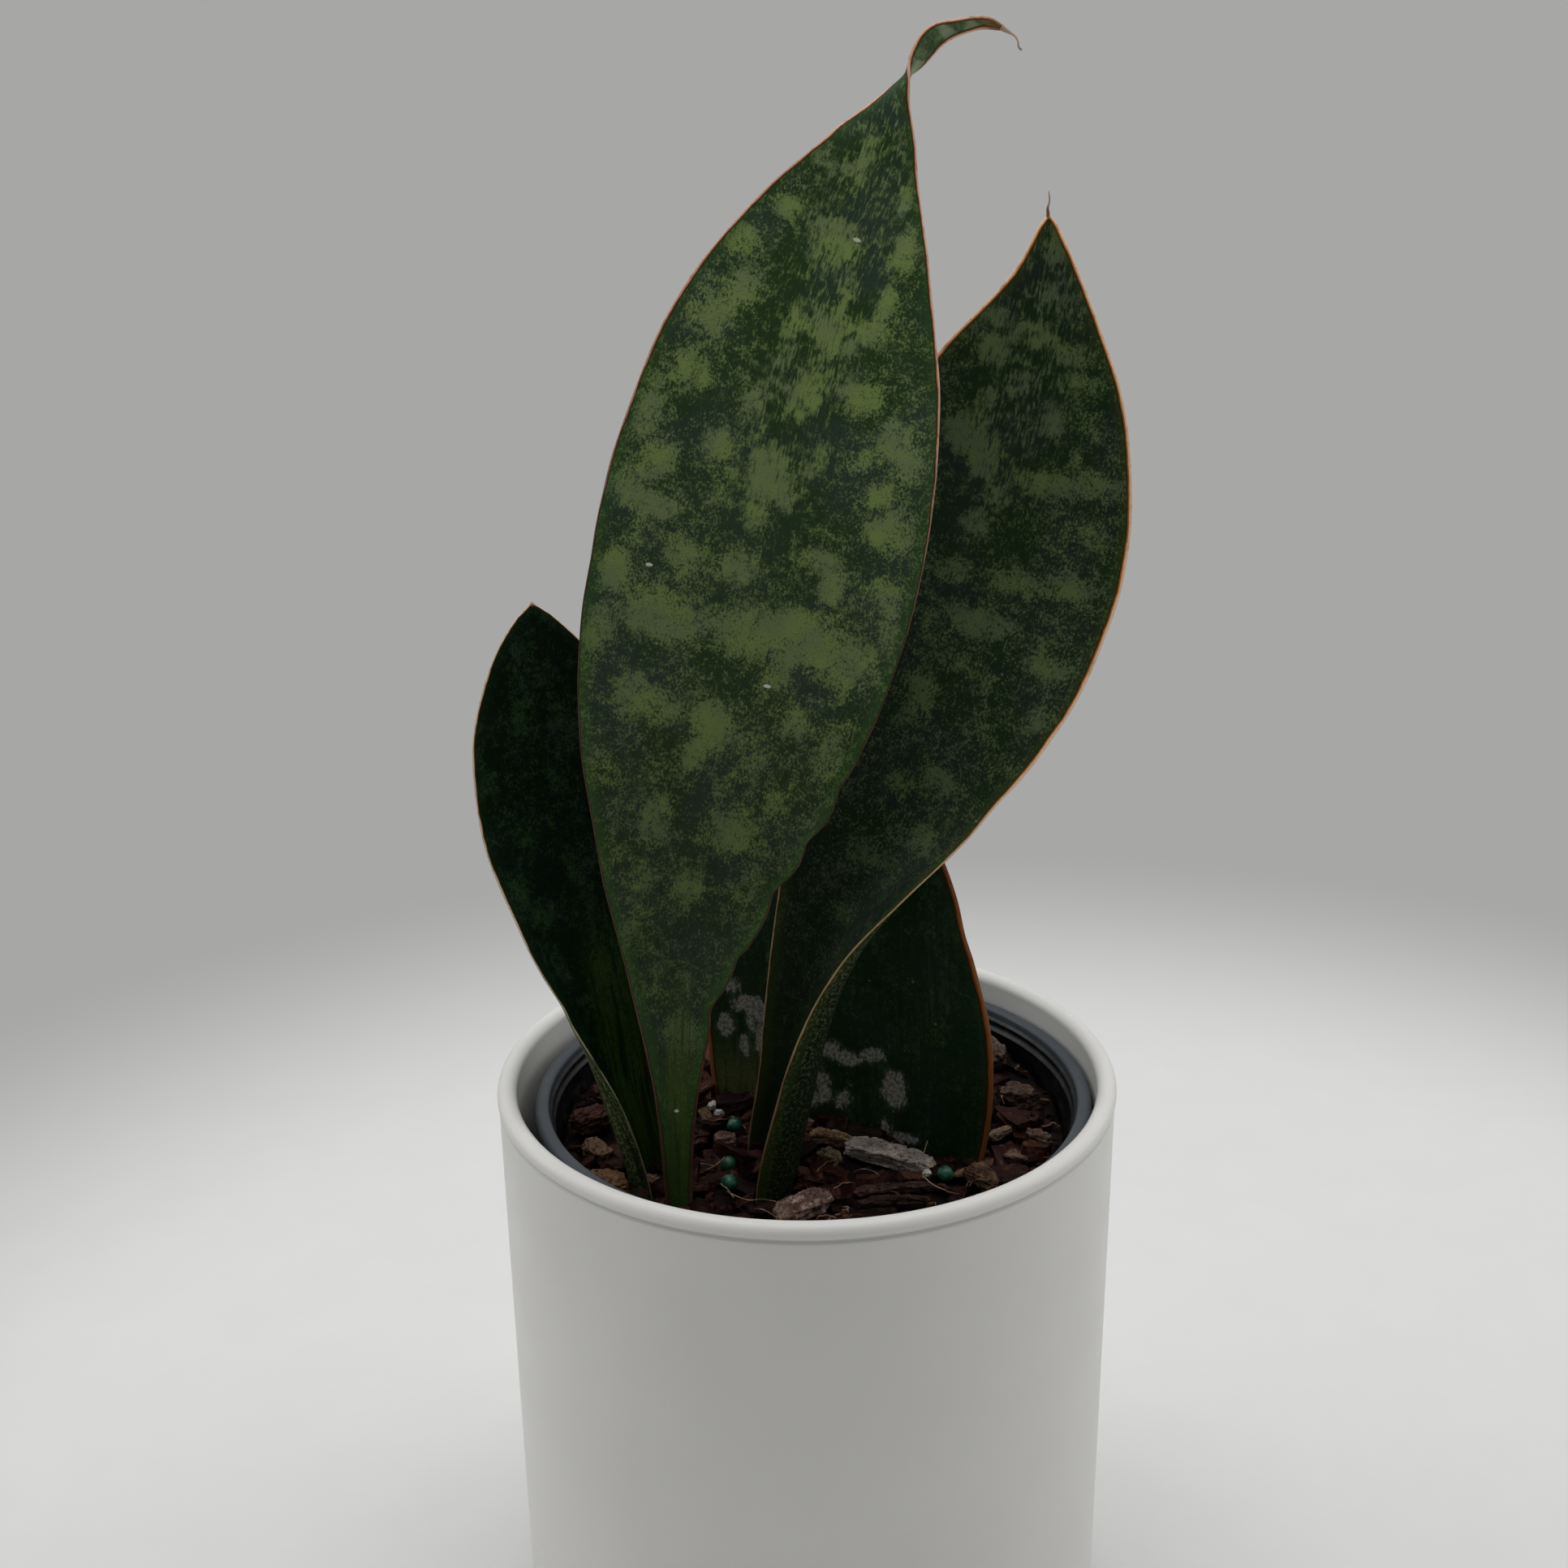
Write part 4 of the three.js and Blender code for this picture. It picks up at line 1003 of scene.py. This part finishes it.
def row_slopes(rows, along):
    """Slopes for a smooth curve through the rows, by distance along the midrib."""
    slopes = []
    for i, row in enumerate(rows):
        before, after = max(i - 1, 0), min(i + 1, len(rows) - 1)
        if before == i or after == i:
            span = along[after] - along[before]
            slopes.append([(b - a) / span for a, b in zip(rows[before], rows[after])])
            continue
        back, ahead = along[i] - along[before], along[after] - along[i]
        slopes.append([((value - a) / back * ahead + (b - value) / ahead * back) / (back + ahead)
                       for a, value, b in zip(rows[before], row, rows[after])])
    return slopes


def leaf_sections(rows, step):
    """Cross-section frames every step along the midrib, in metres: (distance, frame values)."""
    along = [0.0]
    for a, b in zip(rows, rows[1:]):
        along.append(along[-1] + (Vector(b[:3]) - Vector(a[:3])).length)
    slopes = row_slopes(rows, along)
    count = max(2, round(along[-1] * MM / step))
    sections, i = [], 0
    for n in range(count + 1):
        distance = along[-1] * n / count
        while i < len(rows) - 2 and distance > along[i + 1]:
            i += 1
        span = along[i + 1] - along[i]
        q = (distance - along[i]) / span
        parts = list(zip(rows[i], slopes[i], rows[i + 1], slopes[i + 1]))
        values = [hermite(q, a, slope_a * span, b, slope_b * span) for a, slope_a, b, slope_b in parts]
        heading = Vector([hermite_slope(q, a, slope_a * span, b, slope_b * span)
                          for a, slope_a, b, slope_b in parts[:3]]).normalized()
        turn = math.radians(values[5])
        front = Vector((math.sin(turn), -math.cos(turn), 0.0))
        front = (front - front.dot(heading) * heading).normalized()
        sections.append({
            "along": distance * MM, "midrib": Vector(values[:3]) * MM, "front": front,
            "side": heading.cross(front), "left": values[3] * MM, "right": values[4] * MM,
            "cup": max(math.radians(values[6]), 1e-3), "thick": values[7] * MM,
        })
    return sections


def across_steps(columns):
    """Places across the blade from -1 to 1, close together at the margins so that they round over."""
    inner = [0.95 * (2 * i / columns - 1) for i in range(columns + 1)]
    edge = [0.968, 0.982, 0.991, 0.997, 1.0]
    return [-place for place in reversed(edge)] + inner + edge


def pucker(name, across, along):
    """How far a margin is drawn in at a place, and how much it cockles there."""
    pull, cockle = 0.0, 0.0
    for side, middle, depth, half in PUCKERS.get(name, ()):
        if across * side <= 0:
            continue
        share = math.exp(-((along - middle) / half) ** 2)
        pull += depth * share * abs(across) ** 2
        cockle += depth * share * abs(across) ** 4 * math.sin((along - middle) / half * 2.2)
    return pull, cockle


def painted(rows, across, along):
    """How strongly the listed soft spots cover a place, from 0 to 1."""
    level = 0.0
    for middle, height, wide, long, strength in rows:
        reach = ((across / MM - middle) / wide) ** 2 + ((along / MM - height) / long) ** 2
        if reach < 3:
            level += strength * math.exp(-0.69 * reach * reach)
    return min(1.0, level)


def blotch_level(name, front, across, along, reach):
    """Painted blotches on the fronts that have them, scattered ones elsewhere, short bars where narrow."""
    if front and name in LEAF_BLOTCHES:
        return painted(LEAF_BLOTCHES[name], across, along)
    pitch = 330 if reach < 3 * MM else 100
    cloud = noise.noise(Vector((across * 150, along * pitch, LEAF_LOOKS[name]["seed"] + (0 if front else 9))))
    return min(1.0, max(0.0, 0.3 + cloud * 2.4)) * (LEAF_LOOKS[name]["clouds"] if front else 1.0)


def leaf_mesh(name, settings):
    sections = leaf_sections(LEAF_ROWS[name], settings.section_step)
    steps = across_steps(settings.columns)
    seed = LEAF_LOOKS[name]["seed"]
    loop = [(u, 1) for u in steps] + [(u, -1) for u in reversed(steps[1:-1])]
    verts, places = [], []
    marks = {key: [] for key in ("rim", "back", "blotch", "film", "narrow")}
    for section in sections:
        along = section["along"]
        taper = min(1.0, 0.1 + math.sqrt((sections[-1]["along"] - along) / (3 * MM)))
        for u, face in loop:
            reach = (section["left"] if u < 0 else section["right"]) * taper
            side_sign = -1.0 if u < 0 else 1.0
            pull, cockle = pucker(name, u, along)
            wobble = 1 + 0.010 * abs(u) ** 6 * noise.noise(Vector((along * 90, side_sign * 5, seed)))
            wide = reach * (1 - pull) * wobble
            angle = section["cup"] * u
            lateral = wide * math.sin(angle) / section["cup"]
            rise = wide * (1 - math.cos(angle)) / section["cup"]
            wave = noise.noise(Vector((along * 26, side_sign * 3, seed))) * settings.ripple * abs(u) ** 3
            wave += 0.18 * MM * noise.noise(Vector((u * reach * 70, along * 70, seed)))
            wave = (wave + cockle * reach * 0.5) * min(1.0, reach / (10 * MM))
            edge = max(0.0, (abs(u) - 0.95) / 0.05)
            body = (1 - 0.82 * abs(u) ** 2.5) * math.sqrt(max(0.0, 1 - edge * edge))
            depth = face * section["thick"] * taper / 2 * body
            normal = section["front"] * math.cos(angle) - section["side"] * math.sin(angle)
            point = section["midrib"] + section["side"] * lateral + section["front"] * rise
            verts.append(point + normal * (depth + wave))
            places.append((u * reach, along))
            marks["rim"].append(reach * (1 - abs(u)))
            marks["back"].append(0.0 if face > 0 else 1.0)
            marks["narrow"].append(1.0 if face < 0 and section["left"] < 3 * MM and along > 0.1 else 0.0)
            marks["blotch"].append(blotch_level(name, face > 0, u * reach, along, reach))
            marks["film"].append(painted(LEAF_FILM.get(name, ()), u * reach, along) if face > 0 else 0.0)
    ring = len(loop)
    faces = []
    for n in range(len(sections) - 1):
        for k in range(ring):
            a, b = n * ring + k, n * ring + (k + 1) % ring
            faces.append((a, b, b + ring, a + ring))
    faces.append(tuple(reversed(range(ring))))
    top = (len(sections) - 1) * ring
    faces.append(tuple(top + k for k in range(ring)))
    mesh = mesh_from(name + "_blade", verts, faces, **marks)
    layer = mesh.uv_layers.new(name="leaf")
    corners = [0] * len(mesh.loops)
    mesh.loops.foreach_get("vertex_index", corners)
    layer.data.foreach_set("uv", [axis for corner in corners for axis in places[corner]])
    return smooth(mesh)


# ---- operators ----
class SNAKEPLANT_OT_stage(bpy.types.Operator):
    """Make the floor, the soft lights, the world and the camera"""

    bl_idname = "snake_plant.stage"
    bl_label = "Stage"

    def execute(self, context):
        settings = context.scene.snake_plant.stage
        self.floor(settings)
        self.light("top_softbox", (0.0, 0.12, 1.25), (0.0, 0.0, 0.0), 1.1, 1.1, settings.top_power)
        self.light("left_softbox", (-1.05, 0.25, 0.75), (0.0, 0.0, 0.12), 0.8, 1.0, settings.side_power)
        self.light("right_softbox", (1.05, 0.25, 0.75), (0.0, 0.0, 0.12), 0.8, 1.0, settings.side_power)
        self.world(context, settings)
        self.camera(context, settings)
        context.scene.view_settings.view_transform = "Standard"
        return {"FINISHED"}

    def floor(self, settings):
        body = bmesh.new()
        bmesh.ops.create_circle(body, cap_ends=True, segments=96, radius=9.0)
        mesh = mesh_of(body, "studio_floor")
        mesh.materials.append(floor_material(settings))
        floor = bpy.data.objects.new("studio_floor", mesh)
        bpy.context.scene.collection.objects.link(floor)

    def light(self, name, place, aim, width, height, power):
        data = bpy.data.lights.new(name, "AREA")
        data.shape, data.size, data.size_y, data.energy = "RECTANGLE", width, height, power
        lamp = bpy.data.objects.new(name, data)
        lamp.location = place
        lamp.rotation_euler = (Vector(aim) - Vector(place)).to_track_quat("-Z", "Y").to_euler()
        lamp.visible_camera = False
        bpy.context.scene.collection.objects.link(lamp)

    def world(self, context, settings):
        world = bpy.data.worlds.new("Studio")
        context.scene.world = world
        world.use_nodes = True
        tree = world.node_tree
        tree.nodes.clear()
        depth = taken(tree, "TexCoord", None, "Generated").axis(1)
        level = depth.ramp(-0.7, 0.5, settings.ambient_front, settings.ambient_back)
        soft = node(tree, "Background", {"Color": (1.0, 1.0, 1.0, 1.0), "Strength": level})
        seen = node(tree, "Background", {"Color": tuple(settings.backdrop), "Strength": 1.0})
        chosen = node(tree, "MixShader", {0: taken(tree, "LightPath", None, "Is Camera Ray")})
        tree.links.new(soft.outputs[0], chosen.inputs[1])
        tree.links.new(seen.outputs[0], chosen.inputs[2])
        output = node(tree, "OutputWorld")
        tree.links.new(chosen.outputs[0], output.inputs["Surface"])

    def camera(self, context, settings):
        data = bpy.data.cameras.new("studio_camera")
        data.lens, data.sensor_width = settings.lens, 36.0
        data.clip_start, data.clip_end = 0.01, 50.0
        camera = bpy.data.objects.new("studio_camera", data)
        down = settings.pitch
        right = Vector((1.0, 0.0, 0.0))
        up = Vector((0.0, math.sin(down), math.cos(down)))
        forward = Vector((0.0, math.cos(down), -math.sin(down)))
        cosine, sine = math.cos(settings.roll), math.sin(settings.roll)
        axes = Matrix((right * cosine + up * sine, up * cosine - right * sine, -forward)).transposed()
        camera.matrix_world = Matrix.Translation(settings.camera_place) @ axes.to_4x4()
        context.scene.collection.objects.link(camera)
        context.scene.camera = camera


class SNAKEPLANT_OT_cover_pot(bpy.types.Operator):
    """Turn the white glazed cover pot"""

    bl_idname = "snake_plant.cover_pot"
    bl_label = "Cover Pot"

    def execute(self, context):
        settings = context.scene.snake_plant.pot
        bead = settings.wall / 2
        bead_z = settings.height - bead
        taper = math.tan(math.radians(0.5))
        wall_top = settings.rim_radius - settings.rim_step
        foot = wall_top - bead_z * taper
        inner_top = settings.rim_radius - settings.wall
        inner_foot = inner_top - bead_z * taper
        outer_foot = arc((foot - 3 * MM, 3 * MM), 3 * MM, -90, 0, 8)
        groove = [(wall_top, bead_z - 1.9 * MM), (wall_top - 0.02 * MM, bead_z - 1.5 * MM),
                  (wall_top - 0.4 * MM, bead_z - 1.2 * MM), (wall_top - 0.36 * MM, bead_z - 0.85 * MM)]
        rim = arc((settings.rim_radius - bead, bead_z), bead, -14, 180, 20)
        inner_round = arc((inner_foot - 3 * MM, settings.base + 3 * MM), 3 * MM, 0, -90, 8)
        profile = [(0.0, 0.0), (foot - 3 * MM - 0.0005, 0.0), *outer_foot,
                   *ladder(outer_foot[-1], groove[0], 24), *groove, *rim,
                   *ladder(rim[-1], inner_round[0], 16), *inner_round, (0.0, settings.base)]
        mesh = turned_mesh("glazed_pot", profile, (0.0, 0.0, 0.0), 256)
        add_piece("glazed_pot", mesh, glaze_material(settings), "glaze", "cover_pot")
        return {"FINISHED"}


class SNAKEPLANT_OT_nursery_pot(bpy.types.Operator):
    """Turn the black nursery pot and cut its drain holes"""

    bl_idname = "snake_plant.nursery_pot"
    bl_label = "Nursery Pot"

    def execute(self, context):
        settings = context.scene.snake_plant.pot
        wall, lip = settings.nursery_wall, settings.nursery_radius
        base, top = NURSERY_LOW.z, NURSERY_HIGH.z
        lip_foot = top - 4.5 * MM
        inner_top = 50.6 * MM
        wall_top = inner_top + wall
        base_radius = 40.5 * MM
        inner_base = base_radius - wall
        lip_inner = inner_top + 0.8 * MM
        outside = [(wall_top, lip_foot - 1 * MM), (lip - 0.5 * MM, lip_foot), (lip, lip_foot + 0.8 * MM)]
        inside = [*self.ridge(lip_inner, lip_foot + 1.9 * MM), *self.ridge(inner_top + 0.3 * MM, lip_foot),
                  (inner_top - 0.25 * MM, lip_foot - 2.5 * MM)]
        low = (inner_base, base + wall + 1.5 * MM)
        profile = [(0.0, base), (base_radius - 1.5 * MM, base), (base_radius, base + 1.5 * MM),
                   *ladder((base_radius, base + 1.5 * MM), outside[0], 12), *outside,
                   *arc((lip - 1.2 * MM, top - 1.2 * MM), 1.2 * MM, 0, 90, 8),
                   *arc((lip_inner + 0.8 * MM, top - 0.8 * MM), 0.8 * MM, 90, 180, 6), *inside,
                   *ladder(inside[-1], low, 12), low, (inner_base - 1.5 * MM, base + wall),
                   (0.0, base + wall)]
        centre = (NURSERY_CENTRE.x, NURSERY_CENTRE.y, 0.0)
        mesh = turned_mesh("inner_nursery_pot", profile, centre, 200)
        material = plastic_material(settings)
        piece = add_piece("inner_nursery_pot", mesh, material, "black_plastic", "nursery_pot")
        holes = [Vector((centre[0] + 30 * MM * math.cos(turn), centre[1] + 30 * MM * math.sin(turn), base))
                 for turn in (math.tau * i / 6 for i in range(6))]
        cut_holes(piece, holes, 4 * MM, 6 * MM)
        return {"FINISHED"}

    def ridge(self, radius, height):
        """A low moulded ring on the inside of the wall."""
        return [(radius, height + 1.0 * MM), (radius - 0.1 * MM, height + 0.8 * MM),
                (radius - 0.55 * MM, height + 0.5 * MM), (radius - 0.6 * MM, height + 0.3 * MM),
                (radius - 0.35 * MM, height - 0.1 * MM), (radius - 0.25 * MM, height - 0.4 * MM)]


class SNAKEPLANT_OT_potting_mix(bpy.types.Operator):
    """Make the crumbly mix with its small chips and fibres"""

    bl_idname = "snake_plant.potting_mix"
    bl_label = "Potting Mix"

    def execute(self, context):
        settings = context.scene.snake_plant.mix
        radius = (MIX_HIGH.x - MIX_LOW.x) / 2
        verts, faces = mix_bed(settings, radius)
        bed_faces = len(faces)
        local = [vert.copy() for vert in verts]
        tones = [0.12 + 0.14 * noise.noise(vert * 300) for vert in verts]
        dice = random.Random(41)
        trees, boxes = leaf_trees(), loose_boxes()
        for number in range(settings.chips):
            self.chip(settings, radius, dice, trees, boxes, number, (verts, faces, local, tones))
        mesh = mesh_from("bark_mix", verts, faces, local=local, tone=tones)
        mesh.polygons.foreach_set("use_smooth", [number < bed_faces for number in range(len(faces))])
        add_piece("bark_mix", mesh, mix_material(settings), "mix", "potting_mix")
        self.fibres(settings, radius, dice, trees)
        return {"FINISHED"}

    def chip(self, settings, radius, dice, trees, boxes, number, parts):
        """Adds one small chip to the mix, if there is room for it."""
        verts, faces, local, tones = parts
        size = dice.random() ** 2.8
        length = (1.3 + 8.0 * size) * MM
        width = length * dice.uniform(0.28, 0.62)
        height = width * dice.uniform(0.35, 0.7)
        reach = (radius - length * 0.5) * math.sqrt(dice.random())
        turn = dice.uniform(0, math.tau)
        x, y = plan_place(reach, turn)
        heading, tilt, lean = dice.uniform(0, math.tau), dice.gauss(0, 0.22), dice.gauss(0, 0.25)
        lift = dice.uniform(-0.2, 0.5) * height - 0.6 * MM
        tone = min(0.97, max(0.12, dice.gauss(0.46, 0.22)))
        place = Vector((x, y, mix_height(settings, x, y) + lift))
        if not clear_of_leaves(trees, place, width * 0.45) or not clear_of_boxes(boxes, x, y, 0.2 * MM):
            return
        turned = turned_by(heading, tilt) @ Matrix.Rotation(lean, 3, "X")
        form, form_faces = shard_form(length, width, height, dice)
        start = len(verts)
        for vert in form:
            verts.append(place + turned @ vert)
            local.append(vert + Vector((number * 0.011, number * 0.007, 0.0)))
            tones.append(tone)
        faces.extend(tuple(start + index for index in face) for face in form_faces)

    def fibres(self, settings, radius, dice, trees):
        curve = new_strands("coir_fibres", 0.11 * MM, 1)
        for _ in range(settings.fibres):
            reach, turn = (radius - 4 * MM) * math.sqrt(dice.random()), dice.uniform(0, math.tau)
            x, y = plan_place(reach, turn)
            heading, length = dice.uniform(0, math.tau), dice.uniform(3, 11) * MM
            points = []
            for step in range(7):
                hump = math.sin(math.pi * step / 6) * dice.uniform(0.3, 1.2) * MM
                height = mix_height(settings, x, y) + 0.5 * MM + hump
                if not clear_of_leaves(trees, Vector((x, y, height)), 0.4 * MM):
                    break
                if math.hypot(x - MIX_CENTRE.x, y - MIX_CENTRE.y) > radius - 0.6 * MM:
                    break
                points.append((x, y, height))
                heading += dice.gauss(0, 0.35)
                x += math.cos(heading) * length / 6
                y += math.sin(heading) * length / 6
            if len(points) >= 3:
                add_strand(curve, [(*point, dice.uniform(0.5, 1.1)) for point in points])
        material = fibre_material("Coir fibre", srgb(92, 66, 46), srgb(168, 146, 112))
        add_piece("coir_fibres", curve, material, "mix")


class SNAKEPLANT_OT_bark(bpy.types.Operator):
    """Lay the larger loose pieces of bark"""

    bl_idname = "snake_plant.bark"
    bl_label = "Bark Pieces"

    def execute(self, context):
        for number, (name, row) in enumerate(BARK.items()):
            heading, tilt, length, width, height, build, base, pale = row
            cuts = 26 if length > LONG_BARK else 14
            size = (length * MM, width * MM, height * MM)
            verts, faces, edges = bark_form(*size, build, cuts, number * 7.3 + 2)
            low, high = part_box(name)
            turned = turned_by(math.radians(heading), math.radians(tilt))
            placed = [(low + high) / 2 + turned @ vert for vert in verts]
            mesh = mesh_from(name + "_piece", placed, faces, local=verts, edge=edges)
            slot = "bark_pale" if name in PALE_BARK else "bark_red"
            material = bark_material(name, build, base, pale, number * 1.9)
            add_piece(name + "_piece", smooth(mesh), material, slot, name)
        return {"FINISHED"}


class SNAKEPLANT_OT_prills(bpy.types.Operator):
    """Drop the coated fertiliser prills on the mix"""

    bl_idname = "snake_plant.prills"
    bl_label = "Fertiliser Prills"

    def execute(self, context):
        material = prill_material()
        for number, name in enumerate(PRILL_NODES):
            add_piece(name + "_ball", crumb_mesh(name, 0.05, 1.1, number), material, "prill_coat", name)
        return {"FINISHED"}


class SNAKEPLANT_OT_perlite(bpy.types.Operator):
    """Drop the perlite crumbs on the mix"""

    bl_idname = "snake_plant.perlite"
    bl_label = "Perlite"

    def execute(self, context):
        material = perlite_material()
        for number, name in enumerate(PERLITE_NODES):
            add_piece(name + "_crumb", crumb_mesh(name, 0.26, 1.7, number + 9), material, "perlite", name)
        return {"FINISHED"}


def crumb_mesh(node_name, roughness, pitch, seed):
    """A rounded crumb that fills a node's box, roughened by noise."""
    low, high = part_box(node_name)
    half = (high - low) / 2
    body = bmesh.new()
    bmesh.ops.create_icosphere(body, subdivisions=4, radius=1.0)
    for vert in body.verts:
        swell = noise.fractal(vert.co * pitch + Vector((seed * 5, 0, 0)), 0.9, 2.1, 4)
        shaped = vert.co * (1 - roughness * 0.4 + roughness * swell)
        vert.co = (low + high) / 2 + Vector(a * b for a, b in zip(shaped, half))
    return smooth(mesh_of(body, node_name + "_crumb"))


def tip_threads():
    """The dried threads left on the tips of the two tall leaves."""
    curve = new_strands("dried_tip_threads", 0.22 * MM, 2)
    for points in TIP_THREADS:
        add_strand(curve, [(x * MM, y * MM, z * MM, radius) for x, y, z, radius in points])
    material = fibre_material("Dried tip", srgb(120, 84, 54), srgb(196, 172, 146))
    add_piece("dried_tip_threads", curve, material, "leaf_skin")


class SNAKEPLANT_OT_leaves(bpy.types.Operator):
    """Grow the four mottled leaves"""

    bl_idname = "snake_plant.leaves"
    bl_label = "Leaves"

    def execute(self, context):
        settings = context.scene.snake_plant.leaf
        for name in LEAF_ROWS:
            material = leaf_material(name, LEAF_LOOKS[name], settings)
            add_piece(name + "_blade", leaf_mesh(name, settings), material, "leaf_skin", name)
        tip_threads()
        return {"FINISHED"}


OPERATORS = (SNAKEPLANT_OT_stage, SNAKEPLANT_OT_cover_pot, SNAKEPLANT_OT_nursery_pot,
             SNAKEPLANT_OT_potting_mix, SNAKEPLANT_OT_bark, SNAKEPLANT_OT_prills, SNAKEPLANT_OT_perlite,
             SNAKEPLANT_OT_leaves)


class SNAKEPLANT_PT_panel(bpy.types.Panel):
    """Lists the plant's settings and its building steps"""

    bl_idname = "SNAKEPLANT_PT_panel"
    bl_label = "Potted Snake Plant"
    bl_space_type = "VIEW_3D"
    bl_region_type = "UI"
    bl_category = "Snake Plant"

    def draw(self, context):
        settings = context.scene.snake_plant
        for part in ("pot", "mix", "leaf", "stage"):
            box = self.layout.box()
            box.label(text=part.title())
            group = getattr(settings, part)
            for key in group.__annotations__:
                box.prop(group, key)
        for operator in OPERATORS:
            self.layout.operator(operator.bl_idname)


CLASSES = (PotSettings, MixSettings, LeafSettings, StageSettings, PlantSettings, *OPERATORS,
           SNAKEPLANT_PT_panel)


def register():
    for cls in CLASSES:
        bpy.utils.register_class(cls)
    bpy.types.Scene.snake_plant = PointerProperty(type=PlantSettings, name="Snake plant",
                                                  description="Settings of the potted snake plant")


def unregister():
    del bpy.types.Scene.snake_plant
    for cls in reversed(CLASSES):
        bpy.utils.unregister_class(cls)


def main():
    register()
    for operator in OPERATORS:
        group, name = operator.bl_idname.split(".")
        getattr(getattr(bpy.ops, group), name)()


if __name__ == "__main__":
    main()
